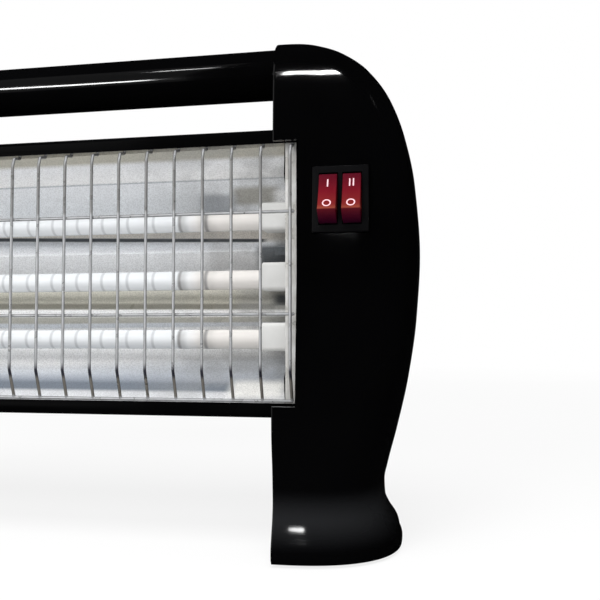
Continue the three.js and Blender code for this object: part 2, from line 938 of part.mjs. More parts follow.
// A strip with a hole for each end pin from one tube to another.
function strap(firstTube, lastTube) {
  const start = capNeckEnd + clearance;
  const half = strapWidth / 2;
  const plate = block(
    [start, tubeDepth - half, tubeHeight(lastTube) - strapOverhang],
    [start + thinSheet, tubeDepth + half, tubeHeight(firstTube) + strapOverhang],
  );
  let made = solid(plate);
  for (let index = firstTube; index <= lastTube; index += 1) {
    const hole = bar(
      start - cutOverrun,
      tubeDepth,
      tubeHeight(index),
      cutOverrun * 2,
      pinRadius + clearance,
      smallSides,
    );
    made = made.subtract(solid(hole));
  }
  return geometryOf(made);
}

// Wire guard: bars that hook behind the top lip and run down to a rim at the bottom lip

// A wire bent in the YZ plane at one X, with its joints mitred.
function bentWire(x, path, radius, sides) {
  const points = path.map(([depth, height]) => new THREE.Vector2(depth, height));
  const ways = points.slice(1).map((point, i) => point.clone().sub(points[i]).normalize());
  const rings = points.map((point, i) => {
    const before = ways[Math.max(i - 1, 0)];
    const after = ways[Math.min(i, ways.length - 1)];
    const mitre = new THREE.Vector2(before.y + after.y, -before.x - after.x).normalize();
    const reach = radius / (mitre.x * before.y - mitre.y * before.x);
    return Array.from({ length: sides }, (_, k) => {
      const angle = (2 * Math.PI * k) / sides;
      const side = reach * Math.sin(angle);
      return new THREE.Vector3(
        x + radius * Math.cos(angle),
        point.x + mitre.x * side,
        point.y + mitre.y * side,
      );
    });
  });
  return loft(rings);
}

function guardSolid() {
  const front = -guardReach;
  const rimBottom = -openingHalfHeight + clearance + wireRadius;
  const hookHeight = openingHalfHeight - clearance - wireRadius;
  const rimTop = openingHalfHeight + guardHookRise;
  const path = [
    [guardRimDepth, rimBottom],
    [front, guardBottomSlope - openingHalfHeight],
    [front, openingHalfHeight - guardTopSlope],
    [front + guardTopLean, hookHeight - guardHookDrop],
    [guardHookDepth, hookHeight],
    [guardHookDepth, rimTop],
  ];
  const bars = [];
  for (let i = 0; i <= guardSpaces; i += 1) {
    const x = -guardEndX + (2 * guardEndX * i) / guardSpaces;
    bars.push(bentWire(x, path, wireRadius, wireSides));
  }
  const rungDepth = front + 2 * wireRadius - wireRadius / 3;
  const stub = guardEndX + guardWireStub;
  guardRungShares.forEach((share) => {
    const height = openingHalfHeight * share;
    bars.push(bar(-stub, rungDepth, height, 2 * stub, wireRadius, wireSides));
  });
  const rimStub = guardEndX + wireRadius / 2;
  bars.push(bar(-rimStub, guardHookDepth, rimTop, 2 * rimStub, wireRadius, wireSides));
  bars.push(bar(-rimStub, guardRimDepth, rimBottom, 2 * rimStub, wireRadius, wireSides));
  return join(bars);
}

// Switch

function rockerGeometry() {
  const skirt = circlePoint(rockerRadius, rockerSkirtAngle);
  const edge = circlePoint(rockerRadius, rockerEdgeAngle);
  const middleAngle = (rockerSkirtAngle + rockerEdgeAngle) / 2;
  const middle = circlePoint(rockerRadius, middleAngle);
  const upper = [
    [rockerHubHalf, -rockerHubDepth],
    skirt,
    middle,
    edge,
  ];
  const lower = upper.map(([height, out]) => [-height, out]).reverse();
  const outline = [...upper, [0, edge[1] - rockerDish], ...lower];
  const points = outline.map(([height, out]) => [-out, height]);
  const half = rockerWidth / 2;
  const pin = half + rockerStubLength;
  return geometryOf(
    join([
      plateAcrossX(points, -half, half),
      bar(-pin, 0, 0, 2 * pin, rockerStubRadius, smallSides),
    ]),
  );
}

function switchBody() {
  const [halfWide, halfHigh] = [bezelWidth / 2, bezelHeight / 2];
  const corner = bezelCorner;
  const bezelShape = [
    [-halfWide + corner, -halfHigh],
    [halfWide - corner, -halfHigh],
    [halfWide, -halfHigh + corner],
    [halfWide, halfHigh - corner],
    [halfWide - corner, halfHigh],
    [-halfWide + corner, halfHigh],
    [-halfWide, halfHigh - corner],
    [-halfWide, -halfHigh + corner],
  ].map(([x, z]) => new THREE.Vector2(x, z));
  const bezel = new THREE.ExtrudeGeometry(new THREE.Shape(bezelShape), {
    depth: bezelThickness,
    bevelEnabled: false,
  });
  bezel.rotateX(Math.PI / 2).translate(0, bezelThickness, 0);
  const body = block(
    [-switchBodyWidth / 2, bezelThickness / 2, -switchBodyHeight / 2],
    [switchBodyWidth / 2, bezelThickness + switchBodyDepth, switchBodyHeight / 2],
  );
  let made = join([bezel, body]);
  const halfWell = rockerWidth / 2 + clearance;
  [-rockerPitch / 2, rockerPitch / 2].forEach((x) => {
    const well = block(
      [x - halfWell, -cutOverrun, -rockerRadius - wellMargin],
      [x + halfWell, wellDepth, rockerRadius + wellMargin],
    );
    const stub = halfWell + rockerStubLength;
    const pivot = bar(
      x - stub,
      rockerPivotDepth,
      0,
      2 * stub,
      rockerStubRadius + clearance,
      smallSides,
    );
    made = made.subtract(solid(well)).subtract(solid(pivot));
  });
  return geometryOf(made);
}

function addSwitch(group) {
  const unit = new THREE.Group();
  unit.applyMatrix4(switchFrame);
  unit.add(node("switch_body", switchBody(), matBlack));
  ["rocker_one", "rocker_two"].forEach((name, i) => {
    const rocker = node(name, rockerGeometry(), redRocker);
    rocker.position.set((i - 1 / 2) * rockerPitch, rockerPivotDepth, 0);
    rocker.rotation.x = -rockerTilt;
    unit.add(rocker);
  });
  const back = bezelThickness + switchBodyDepth + clearance;
  const tabs = [
    ["switch_tab_one", -rockerPitch / 2, tabRise],
    ["switch_tab_two", rockerPitch / 2, tabRise],
    ["switch_tab_common", 0, -tabRise],
  ];
  tabs.forEach(([name, x, z]) => {
    const tab = node(name, new THREE.BoxGeometry(tabWidth, tabLength, tabThickness), brass);
    tab.position.set(x, back + tabLength / 2, z);
    unit.add(tab);
  });
  group.add(unit);
}

// Terminal block, tilt switch and cut-out

function addTerminalBlock(group) {
  let made = solid(new THREE.BoxGeometry(terminalWidth, terminalDepth, terminalHeight));
  [-terminalPitch / 2, terminalPitch / 2].forEach((depth) => {
    const well = rod(
      new THREE.Vector3(0, depth, -terminalHeight),
      new THREE.Vector3(0, depth, terminalHeight / 2 - terminalCrown),
      terminalWellRadius,
      smallSides,
    );
    const screwHole = bar(0, depth, 0, terminalWidth, terminalWellRadius, smallSides);
    made = made.subtract(solid(well)).subtract(solid(screwHole));
  });
  const terminal = node("terminal_block", geometryOf(made), whiteCeramic);
  terminal.position.copy(terminalPlace());
  group.add(terminal);
}

function terminalPlace() {
  const z = roomBelowHead - terminalDrop;
  const back = backOfCasing(z + terminalHeight / 2) - casingWall - terminalBackRoom;
  return new THREE.Vector3(coverBack + clearance + terminalWidth / 2, back - terminalDepth / 2, z);
}

// The pin that the pendulum hangs on, at the inner cover.
function tiltPlace() {
  const frontOfBlock = terminalPlace().y - terminalDepth / 2;
  const y = frontOfBlock - tiltTerminalGap - tiltHalfWidth;
  return new THREE.Vector3(coverBack + clearance, y, roomBelowHead - tiltDrop - tiltPinDrop);
}

function tiltCase() {
  const { x, y, z } = tiltPlace();
  const top = z + tiltPinDrop;
  const bottom = top - tiltHeight;
  const outer = block(
    [x, y - tiltHalfWidth, bottom],
    [x + tiltCaseDepth, y + tiltHalfWidth, top],
  );
  const hollow = block(
    [x + tiltCaseWall, y - tiltHalfWidth + tiltCaseWall, bottom + tiltCaseWall],
    [x + tiltCaseDepth + cutOverrun, y + tiltHalfWidth - tiltCaseWall, top - tiltCaseWall],
  );
  const pinHole = bar(
    x - cutOverrun,
    y,
    z,
    cutOverrun * 2,
    tiltPinRadius + clearance,
    smallSides,
  );
  return solid(outer).subtract(solid(hollow)).subtract(solid(pinHole));
}

// The weight on its arm, hanging from an eye on the pin.
function pendulum() {
  const half = pendulumThickness / 2;
  const eye = bar(-half, 0, 0, pendulumThickness, pendulumEyeRadius, smallSides);
  const weight = bar(-half, 0, -pendulumLength, pendulumThickness, pendulumWeightRadius, roundSides);
  const arm = block(
    [-half, -pendulumArmWidth / 2, -pendulumLength],
    [half, pendulumArmWidth / 2, 0],
  );
  const hole = bar(-cutOverrun, 0, 0, cutOverrun * 2, tiltPinRadius + clearance, smallSides);
  return geometryOf(join([eye, arm, weight]).subtract(solid(hole)));
}

function addTiltSwitch(group) {
  const { x, y, z } = tiltPlace();
  group.add(node("tilt_switch_case", geometryOf(tiltCase()), matBlack));
  const pin = bar(x, y, z, tiltPinLength, tiltPinRadius, smallSides);
  group.add(node("tilt_switch_pin", pin, zincSteel));
  const swing = node("tilt_pendulum", pendulum(), zincSteel);
  swing.position.set(x + tiltCaseWall + clearance + pendulumThickness / 2, y, z);
  group.add(swing);
}

function addCutout(group) {
  const profile = [
    [0, 0],
    [cutoutRadius, 0],
    [cutoutRadius, cutoutBase],
    [cutoutCanRadius, cutoutBase],
    [cutoutCanRadius, cutoutBase + cutoutCanHeight],
    [0, cutoutBase + cutoutCanHeight],
  ].map(([radius, height]) => new THREE.Vector2(radius, height));
  const cutout = node("thermal_cutout", new THREE.LatheGeometry(profile, roundSides), zincSteel);
  cutout.rotation.z = Math.PI;
  cutout.position.set(cutoutX, housingDepth - sheet - clearance, cutoutHeight);
  group.add(cutout);
}

// Internal leads, each a round sleeve along a smooth route

function lead(name, points) {
  const path = new THREE.CatmullRomCurve3(points, false, "centripetal");
  const section = new THREE.Shape();
  section.absarc(0, 0, leadRadius, 0, Math.PI * 2, false);
  const geometry = new THREE.ExtrudeGeometry(section, {
    steps: leadSteps,
    extrudePath: path,
    curveSegments: arcSteps,
  });
  return node(name, geometry, leadSleeve);
}

function addLeads(group) {
  const pinEnd = pinHalfLength + clearance;
  const tabTip = bezelThickness + switchBodyDepth + tabLength + 2 * clearance;
  const [leftTab, rightTab] = [-rockerPitch / 2, rockerPitch / 2];
  const turn = 4 * leadRadius;
  const topTube = tubeHeight(0);
  const lowTube = tubeHeight(2);
  group.add(
    lead("lead_upper", [
      headPoint(pinEnd, tubeDepth, topTube),
      headPoint(pinEnd + turn, tubeDepth, topTube),
      switchPoint(leftTab, tabTip + 2 * turn, tabRise - turn),
      switchPoint(leftTab, tabTip + turn, tabRise),
      switchPoint(leftTab, tabTip, tabRise),
    ]),
    lead("lead_lower", [
      headPoint(pinEnd, tubeDepth, lowTube),
      headPoint(pinEnd + turn, tubeDepth, lowTube),
      switchPoint(rightTab, tabTip + turn, -switchRise),
      switchPoint(rightTab, tabTip + 2 * turn, -tabRise),
      switchPoint(rightTab, tabTip + turn, tabRise),
      switchPoint(rightTab, tabTip, tabRise),
    ]),
  );
  const block = terminalPlace();
  const topOfBlock = block.z + terminalHeight / 2 + clearance;
  const wellFront = block.y - terminalPitch / 2;
  const wellBack = block.y + terminalPitch / 2;
  const riserDepth = housingDepth + 2 * leadRadius;
  const runDepth = housingDepth - leadBackRoom;
  const runHeight = leadRunSetIn - housingHalfHeight;
  const cutoutDepth = housingDepth - sheet - clearance - cutoutBase / 2;
  const cutoutEdge = cutoutRadius + clearance;
  const ridge = (tubeHeight(0) + tubeHeight(1)) / 2;
  const strapX = capNeckEnd + clearance + thinSheet / 2;
  const strapEdge = tubeDepth + strapWidth / 2 + clearance;
  group.add(
    lead("lead_live", [
      new THREE.Vector3(block.x, wellBack, topOfBlock),
      new THREE.Vector3(block.x, wellBack, topOfBlock + turn),
      headPoint(housingHalfLength + 2 * turn, riserDepth, runHeight),
      headPoint(switchX, riserDepth, 0),
      switchPoint(0, tabTip + turn, -tabRise - leadRadius),
      switchPoint(0, tabTip, -tabRise),
    ]),
    lead("lead_neutral", [
      new THREE.Vector3(block.x, wellFront, topOfBlock),
      new THREE.Vector3(block.x, wellFront, topOfBlock + turn),
      headPoint(housingHalfLength, runDepth, runHeight + turn),
      headPoint(cutoutX + 2 * turn + cutoutEdge, runDepth, 0),
      headPoint(cutoutX + turn + cutoutEdge, cutoutDepth, cutoutHeight),
      headPoint(cutoutX + cutoutEdge, cutoutDepth, cutoutHeight),
    ]),
    lead("lead_cutout", [
      headPoint(cutoutX - cutoutEdge, cutoutDepth, cutoutHeight),
      headPoint(cutoutX - turn - cutoutEdge, cutoutDepth, cutoutHeight),
      headPoint(-reflectorHalfLength, runDepth, ridge),
      headPoint(-strapX, runDepth - leadRadius, ridge),
      headPoint(-strapX, strapEdge, ridge),
    ]),
  );
}

const heater = new THREE.Group();
addSides(heater, rightCasingShell(), casingShell(), innerCover());
addCoverScrews(heater);
addFeet(heater);
addGland(heater);
addHandle(heater);
addTerminalBlock(heater);
addTiltSwitch(heater);
addLeads(heater);

const head = new THREE.Group();
head.position.set(0, headY, headZ);
head.rotation.x = -headTilt;
head.add(node("housing_shell", geometryOf(housingShell()), blackPaint));
head.add(node("reflector", geometryOf(reflectorSolid()), brightSheet));
head.add(node("right_reflector_end", geometryOf(reflectorEnd()), brightSheet));
head.add(node("left_reflector_end", mirrored(geometryOf(reflectorEnd())), brightSheet));
head.add(node("guard_grille", geometryOf(guardSolid()), chromeWire));
head.add(node("link_strap", strap(1, 2), brass));
head.add(node("common_strap", mirrored(strap(0, 2)), brass));
addElements(head);
addCutout(head);
heater.add(head);
addSwitch(heater);

export default heater;
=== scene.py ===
# %% [markdown]
# # A quartz heater
# Two glossy black casings hold a sheet housing between them. In it lie a folded bright reflector, three
# milky quartz tubes and a bright wire guard. A round handle joins the casings and a double rocker switch
# sits in the right one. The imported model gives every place. This file gives each piece its fine shape and
# its finish.

# %% The frame
import math

import bmesh
import bpy
from mathutils import Matrix, Vector


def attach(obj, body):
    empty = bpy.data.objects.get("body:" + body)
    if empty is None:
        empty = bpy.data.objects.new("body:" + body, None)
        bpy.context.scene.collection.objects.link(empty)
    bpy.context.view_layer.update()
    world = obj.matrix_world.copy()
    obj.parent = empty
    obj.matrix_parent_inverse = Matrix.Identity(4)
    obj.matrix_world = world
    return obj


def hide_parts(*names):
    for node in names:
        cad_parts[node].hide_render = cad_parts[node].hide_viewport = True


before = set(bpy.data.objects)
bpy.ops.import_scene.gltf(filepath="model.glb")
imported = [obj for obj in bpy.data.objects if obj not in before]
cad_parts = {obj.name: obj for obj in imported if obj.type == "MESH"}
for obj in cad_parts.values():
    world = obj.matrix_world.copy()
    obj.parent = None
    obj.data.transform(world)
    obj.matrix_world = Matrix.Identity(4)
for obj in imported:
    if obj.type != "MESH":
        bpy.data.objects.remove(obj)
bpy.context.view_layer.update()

# %% [markdown]
# ## Sizes and places
# Sizes are written in millimetres, as on a drawing, and turned to metres where a mesh is made. The heater's
# head leans back a little, so it has a frame of its own: X along the heater, Y into the head and Z up its
# face. The switch leans more, with the face of the casing, and has a frame of its own too.

# %% Sizes that several pieces share
MM = 0.001
HEATER = "heater"
CASING_WIDTH, HALF_DEPTH = 67.4, 59.0
FOOT_PROUD, CASING_HEIGHT = 1.5, 246.0
RIM_FOOT, RIM_TOP, RIDGE_Y = 136.4, 133.4, -14.986
HEAD_Y, HEAD_Z, HEAD_TILT = -37.4232, 132.0, math.radians(1.35)
SWITCH_PLACE, SWITCH_TILT = (166.6, -44.123, 165.0), math.radians(6)
GLAND_PLACE, GLAND_HOLE = (152, 0, 46.3), 5.3
TUBE_PITCH, TUBE_DROP, TUBE_DEPTH = 29.945, 2.0, 20.04
OPENING, HOUSING_HALF, HOUSING_DEPTH, HOUSING_SHEET = 61.9, 69.0, 52.08, 1.2
# The play between pieces that fit into each other.
FIT = 0.3
head_frame = Matrix.Translation((0, HEAD_Y, HEAD_Z)) @ Matrix.Rotation(-HEAD_TILT, 4, "X")
in_switch = Matrix.Translation(SWITCH_PLACE) @ Matrix.Rotation(-SWITCH_TILT, 4, "X")


def tube_height(index):
    return -TUBE_DROP + (1 - index) * TUBE_PITCH


print("head leans", round(math.degrees(HEAD_TILT), 2), "degrees")
print("tubes at", [tube_height(i) for i in range(3)], "mm up the head")

# %% [markdown]
# ## Making meshes
# Most pieces start as rings of points joined by a skin, or as a flat outline drawn out to a length. Small
# helpers do that, turn millimetres to metres and keep each object at the origin with its place in its mesh.


# %% Helpers for meshes
def placed(name, points, edges=(), faces=(), frame_of=None):
    """An object at the origin, with its place in its mesh."""
    mesh = bpy.data.meshes.new(name)
    mesh.from_pydata([Vector(p) for p in points], edges, faces)
    if frame_of is not None:
        mesh.transform(frame_of)
    mesh.transform(Matrix.Scale(MM, 4))
    obj = bpy.data.objects.new(name, mesh)
    bpy.context.scene.collection.objects.link(obj)
    return obj


def new_object(name, points, faces, frame_of=None):
    """A placed piece without double points, whose faces point outwards."""
    obj = placed(name, points, faces=faces, frame_of=frame_of)
    made = bmesh.new()
    made.from_mesh(obj.data)
    bmesh.ops.remove_doubles(made, verts=made.verts, dist=1e-7)
    bmesh.ops.recalc_face_normals(made, faces=made.faces)
    made.to_mesh(obj.data)
    made.free()
    return obj


def skin(rings):
    """Points and faces of a skin over rings of equal count, closed at both ends."""
    count = len(rings[0])
    points = [p for ring in rings for p in ring]
    faces = []
    for low in range(0, len(points) - count, count):
        for i in range(count):
            j = (i + 1) % count
            faces.append((low + i, low + j, low + count + j, low + count + i))
    faces.append(tuple(reversed(range(count))))
    faces.append(tuple(range(len(points) - count, len(points))))
    return points, faces


def round_skin(rings, closed=True):
    """Points and faces of a skin over rings set in a circle, the last joined to the first."""
    count = len(rings[0])
    faces = []
    for i in range(len(rings)):
        k = (i + 1) % len(rings)
        for j in range(count if closed else count - 1):
            n = (j + 1) % count
            faces.append((i * count + j, i * count + n, k * count + n, k * count + j))
    return [p for ring in rings for p in ring], faces


def drawn_out(name, outline, from_x, to_x, frame_of=None):
    """A closed outline of (y, z) points, drawn out along X."""
    return new_object(name, *skin([[(x, y, z) for y, z in outline] for x in (from_x, to_x)]), frame_of)


def drawn_up(name, outline, from_z, to_z, frame_of=None):
    """A closed outline of (x, y) points, drawn out along Z."""
    return new_object(name, *skin([[(x, y, z) for x, y in outline] for z in (from_z, to_z)]), frame_of)


def box(name, low, high, frame_of=None):
    outline = [(low[1], low[2]), (high[1], low[2]), (high[1], high[2]), (low[1], high[2])]
    return drawn_out(name, outline, low[0], high[0], frame_of)


def turned(name, profile, sides, frame_of=None, along="X"):
    """A profile of (radius, place) points turned round an axis."""
    order = {"X": (2, 0, 1), "Y": (0, 2, 1), "Z": (0, 1, 2)}[along]
    rings = []
    for i in range(sides):
        angle = 2 * math.pi * i / sides
        across, up = math.cos(angle), math.sin(angle)
        ring = [(r * across, r * up, x) for r, x in profile]
        rings.append([tuple(point[k] for k in order) for point in ring])
    return new_object(name, *round_skin(rings, profile[0][0] > 0), frame_of)


# %% Helpers that change a mesh
def use_modifier(obj, kind, **settings):
    modifier = obj.modifiers.new(kind.title(), kind)
    for key, value in settings.items():
        setattr(modifier, key, value)
    settle(obj)


def combine(obj, other, operation):
    """Adds another solid to a piece or takes it away, and deletes that solid."""
    use_modifier(obj, "BOOLEAN", operation=operation, solver="EXACT", object=other)
    bpy.data.objects.remove(other)


def cut(obj, *cutters):
    for cutter in cutters:
        combine(obj, cutter, "DIFFERENCE")


def join_to(obj, others):
    with bpy.context.temp_override(active_object=obj, selected_editable_objects=[obj, *others]):
        bpy.ops.object.join()


def settle(obj):
    """Turns the evaluated shape into the object's own mesh and drops its modifiers."""
    bpy.context.view_layer.update()
    graph = bpy.context.evaluated_depsgraph_get()
    made = bpy.data.meshes.new_from_object(obj.evaluated_get(graph))
    obj.modifiers.clear()
    obj.data = made


def soft_edges(obj, width, steps=3, angle=40):
    use_modifier(
        obj, "BEVEL", width=width * MM, segments=steps, limit_method="ANGLE", angle_limit=math.radians(angle),
    )


paints = {}


def finished(obj, paint, slot, *nodes, body=HEATER, angle=35):
    """Gives a piece its finish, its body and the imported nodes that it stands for."""
    obj.data.shade_smooth()
    obj.data.set_sharp_from_angle(angle=math.radians(angle))
    obj.data.materials.clear()
    obj.data.materials.append(paints[paint])
    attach(obj, body)
    if nodes:
        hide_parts(*nodes)
    print(obj.name, len(obj.data.polygons), "faces")


def mirror(mesh):
    mesh.transform(Matrix.Scale(-1, 4, (1, 0, 0)))
    mesh.flip_normals()


def mirrored_copy(obj, name):
    twin = obj.copy()
    twin.data = obj.data.copy()
    twin.name = twin.data.name = name
    mirror(twin.data)
    bpy.context.scene.collection.objects.link(twin)
    return twin


# %% [markdown]
# ## Finishes
# No surface is one flat colour. A node group gives every material its small unevenness: cloudy patches and
# a fine grain. It puts out only values, and each material mixes these into its own shader.


# %% Node helpers
def link(tree, *pairs):
    for source, target in pairs:
        tree.links.new(source, target)


def put_in(tree, socket, value):
    """Gives an input a value, or the socket that drives it."""
    if isinstance(value, bpy.types.NodeSocket):
        tree.links.new(value, socket)
    else:
        socket.default_value = value


def fill(tree, made, **values):
    """Gives a node its settings, by small names, and its inputs, by capital names with _ for a space."""
    for name, value in values.items():
        if name[0].islower():
            setattr(made, name, value)
    for name, value in values.items():
        if name[0].isupper():
            put_in(tree, made.inputs[name.replace("_", " ")], value)
    return made


def add_node(tree, kind, **values):
    return fill(tree, tree.nodes.new(kind), **values)


def object_place(tree):
    return add_node(tree, "ShaderNodeTexCoord").outputs["Object"]


def noise(tree, scale, detail):
    made = add_node(tree, "ShaderNodeTexNoise", Vector=object_place(tree), Scale=scale, Detail=detail)
    return made.outputs["Fac"]


def spread(tree, value, low, high):
    """A value from nought to one, spread between low and high."""
    return add_node(tree, "ShaderNodeMapRange", Value=value, To_Min=low, To_Max=high).outputs["Result"]


def span_of(tree, value, low, high, easing="SMOOTHSTEP"):
    """Nought at low, one at high and eased between them."""
    made = add_node(tree, "ShaderNodeMapRange", interpolation_type=easing, Value=value)
    return fill(tree, made, From_Min=low, From_Max=high).outputs["Result"]


# %% Patches and grain
patches = bpy.data.node_groups.new("patches_and_grain", "ShaderNodeTree")
for way, labels in (("INPUT", ("Patch Scale", "Grain Scale")), ("OUTPUT", ("Patches", "Grain"))):
    for label in labels:
        patches.interface.new_socket(label, in_out=way, socket_type="NodeSocketFloat")
given, put = patches.nodes.new("NodeGroupInput").outputs, patches.nodes.new("NodeGroupOutput").inputs
PATCH_DETAIL, GRAIN_DETAIL = 3.0, 2.0
cloud = span_of(patches, noise(patches, given["Patch Scale"], PATCH_DETAIL), 0.35, 0.65, "LINEAR")
link(patches, (cloud, put["Patches"]), (noise(patches, given["Grain Scale"], GRAIN_DETAIL), put["Grain"]))
print("group", patches.name, [s.name for s in patches.interface.items_tree])


# %% A material and its parts
def material(name, roughness, metallic=0.0, **sockets):
    """Starts a material, and gives back its tree and its shader."""
    paints[name] = bpy.data.materials.new(name)
    paints[name].use_nodes = True
    tree = paints[name].node_tree
    shader = tree.nodes["Principled BSDF"]
    return tree, fill(tree, shader, Roughness=roughness, Metallic=metallic, **sockets)


def uneven(tree, patch, grain):
    """Patches and grain at a finish's own scales."""
    return add_node(tree, "ShaderNodeGroup", node_tree=patches, Patch_Scale=patch, Grain_Scale=grain).outputs


def ramp(tree, value, stops):
    made = add_node(tree, "ShaderNodeValToRGB")
    while len(made.color_ramp.elements) < len(stops):
        made.color_ramp.elements.new(0.5)
    for element, (place_of, colour) in zip(made.color_ramp.elements, stops):
        element.position = place_of
        element.color = (*colour, 1.0)
    return fill(tree, made, Fac=value).outputs["Color"]


def coated(tree, shader, out, colour, rough, strength, depth):
    """Ends a finish: its colour, a gloss that drifts in patches and a bump from the grain."""
    relief = add_node(tree, "ShaderNodeBump", Strength=strength, Distance=depth, Height=out["Grain"])
    gloss = spread(tree, out["Patches"], *rough)
    fill(tree, shader, Base_Color=colour, Roughness=gloss, Normal=relief.outputs["Normal"])


def grained(name, dark, light, rough, patch, grain, strength, depth, metallic=0.0, **sockets):
    """A finish whose colour and gloss drift in patches, over a fine grain."""
    tree, shader = material(name, rough[0], metallic, **sockets)
    out = uneven(tree, patch, grain)
    coated(tree, shader, out, ramp(tree, out["Patches"], [(0.0, dark), (1.0, light)]), rough, strength, depth)


# %% Plain finishes
grained(
    "satin_black", (0.010, 0.010, 0.011), (0.016, 0.016, 0.017), (0.38, 0.5),
    20.0, 2600.0, 0.25, 0.00006,
)
grained(
    "switch_black", (0.003, 0.003, 0.0033), (0.005, 0.005, 0.0053), (0.3, 0.4),
    40.0, 3000.0, 0.2, 0.00004, Specular_IOR_Level=0.03,
)
grained(
    "stove_enamel", (0.0008, 0.0008, 0.0009), (0.0016, 0.0016, 0.0018), (0.2, 0.3),
    14.0, 420.0, 0.12, 0.0001, Specular_IOR_Level=0.05,
)
grained(
    "handle_enamel", (0.0007, 0.0007, 0.0008), (0.0014, 0.0014, 0.0016), (0.06, 0.1),
    14.0, 300.0, 0.04, 0.0001, Specular_IOR_Level=0.07,
)
grained("foot_rubber", (0.012, 0.012, 0.012), (0.022, 0.021, 0.020), (0.7, 0.85), 60.0, 1800.0, 0.4, 0.0001)
grained("white_ceramic", (0.55, 0.55, 0.54), (0.63, 0.63, 0.62), (0.5, 0.62), 60.0, 1500.0, 0.25, 0.0001)
grained("pale_print", (0.74, 0.45, 0.50), (0.82, 0.52, 0.57), (0.35, 0.45), 200.0, 3000.0, 0.1, 0.00002)
grained(
    "zinc_steel", (0.42, 0.42, 0.43), (0.58, 0.58, 0.57), (0.28, 0.42),
    120.0, 1500.0, 0.15, 0.00005, metallic=1.0,
)
grained(
    "strip_brass", (0.50, 0.36, 0.14), (0.66, 0.50, 0.22), (0.26, 0.4),
    90.0, 1400.0, 0.12, 0.00005, metallic=1.0,
)
grained(
    "oxide_wire", (0.09, 0.075, 0.065), (0.17, 0.145, 0.13), (0.42, 0.58),
    150.0, 1500.0, 0.2, 0.00005, metallic=1.0,
)
grained("glass_sleeve", (0.62, 0.58, 0.50), (0.76, 0.72, 0.64), (0.75, 0.9), 70.0, 2400.0, 0.5, 0.0001)
grained("end_sheet", (0.52, 0.51, 0.48), (0.78, 0.78, 0.77), (0.26, 0.36), 90.0, 900.0, 0.04, 0.00005, 0.3)
print(len(paints), "plain finishes")

# %% [markdown]
# ### The reflector's sheet
# Bright rolled aluminium mirrors what lies round it, and here that is painted into the sheet's colour: bands
# of painted reflection and painted shade lie along it, straw, blue-grey and white, with a fine sparkling
# grain over them. The bands follow the height on the sheet, so a ramp on that height gives them. Towards the
# ends it is blotchy, and painted shade lies between the caps.


# %% Sums on values in a material
def sum_of(tree, operation, *values):
    made = add_node(tree, "ShaderNodeMath", operation=operation)
    made.use_clamp = operation == "MULTIPLY" and tree.type == "SHADER"
    for socket, value in zip(made.inputs, values):
        put_in(tree, socket, value)
    return made.outputs["Value"]


def times(tree, first, second):
    return sum_of(tree, "MULTIPLY", first, second)


def blended(tree, factor, first, second, blend="MIX"):
    made = add_node(tree, "ShaderNodeMixRGB", blend_type=blend)
    for socket, value in zip(made.inputs, (factor, first, second)):
        put_in(tree, socket, (*value, 1.0) if isinstance(value, tuple) else value)
    return made.outputs["Color"]


def along_and_up(tree):
    """How far a point is from the middle along X, and its height, in metres."""
    split = add_node(tree, "ShaderNodeSeparateXYZ", Vector=object_place(tree))
    return split.outputs["X"], split.outputs["Z"]


def window(tree, value, low, high, soft):
    """One between two values, eased to nought outside them."""
    begun = span_of(tree, value, low - soft, low + soft)
    return times(tree, begun, span_of(tree, value, high + soft, high - soft))


def banded(tree, value, rows, base=0.0):
    """A ramp given as heights in millimetres above a base, with a colour at each."""
    low, high = rows[0][0], rows[-1][0]
    level = span_of(tree, value, (base + low) * MM, (base + high) * MM, "LINEAR")
    return ramp(tree, level, [((h - low) / (high - low), colour) for h, colour in rows])


# %% Painted reflection bands, painted shade, blotches and grain of the sheet
SILVER, PALE, STEEL = (0.90, 0.91, 0.93), (1.0, 1.0, 1.0), (0.70, 0.73, 0.77)
STRAW, UMBER, SLATE, PAINTED_SHADE = (0.50, 0.48, 0.41), (0.26, 0.25, 0.21), (0.155, 0.18, 0.215), (0.06, 0.07, 0.08)
CREAM, PEWTER, OLIVE = (0.80, 0.76, 0.70), (0.50, 0.49, 0.44), (0.64, 0.62, 0.53)
# Bands of painted reflection and painted shade, with a painted shade line at the crease: heights up the head
# in millimetres, from the bottom lip to the top one, each with its colour.
PAINTED_REFLECTION_BANDS = (
    (-62, (0.72, 0.73, 0.75)), (-58.6, (0.60, 0.61, 0.63)), (-57.4, SLATE), (-54.8, SLATE),
    (-52.3, (0.37, 0.40, 0.45)), (-49.3, (0.74, 0.77, 0.81)), (-46, PALE), (-27.4, PALE), (-26.8, STEEL),
    (-24.6, STEEL), (-24, PEWTER), (-21, PEWTER), (-20.2, PALE), (-17, PALE), (-16, UMBER), (-13.6, UMBER),
    (-12.6, OLIVE), (-3, (0.78, 0.76, 0.68)), (3, SILVER), (13, SILVER), (20.2, STEEL), (23.6, CREAM),
    (26.6, CREAM), (32, (0.84, 0.86, 0.89)), (37, (0.84, 0.87, 0.90)), (49.2, (0.90, 0.92, 0.95)),
    (49.7, (0.40, 0.43, 0.47)), (50.2, PALE), (57, SILVER), (58.6, STRAW),
)
tree, shader = material("bright_sheet", 0.3, 0.05)
across, up = along_and_up(tree)
far_out = sum_of(tree, "ABSOLUTE", across)


def on_head(low, high):
    """Nought to one between two heights up the head."""
    return span_of(tree, up, (HEAD_Z + low) * MM, (HEAD_Z + high) * MM, "LINEAR")
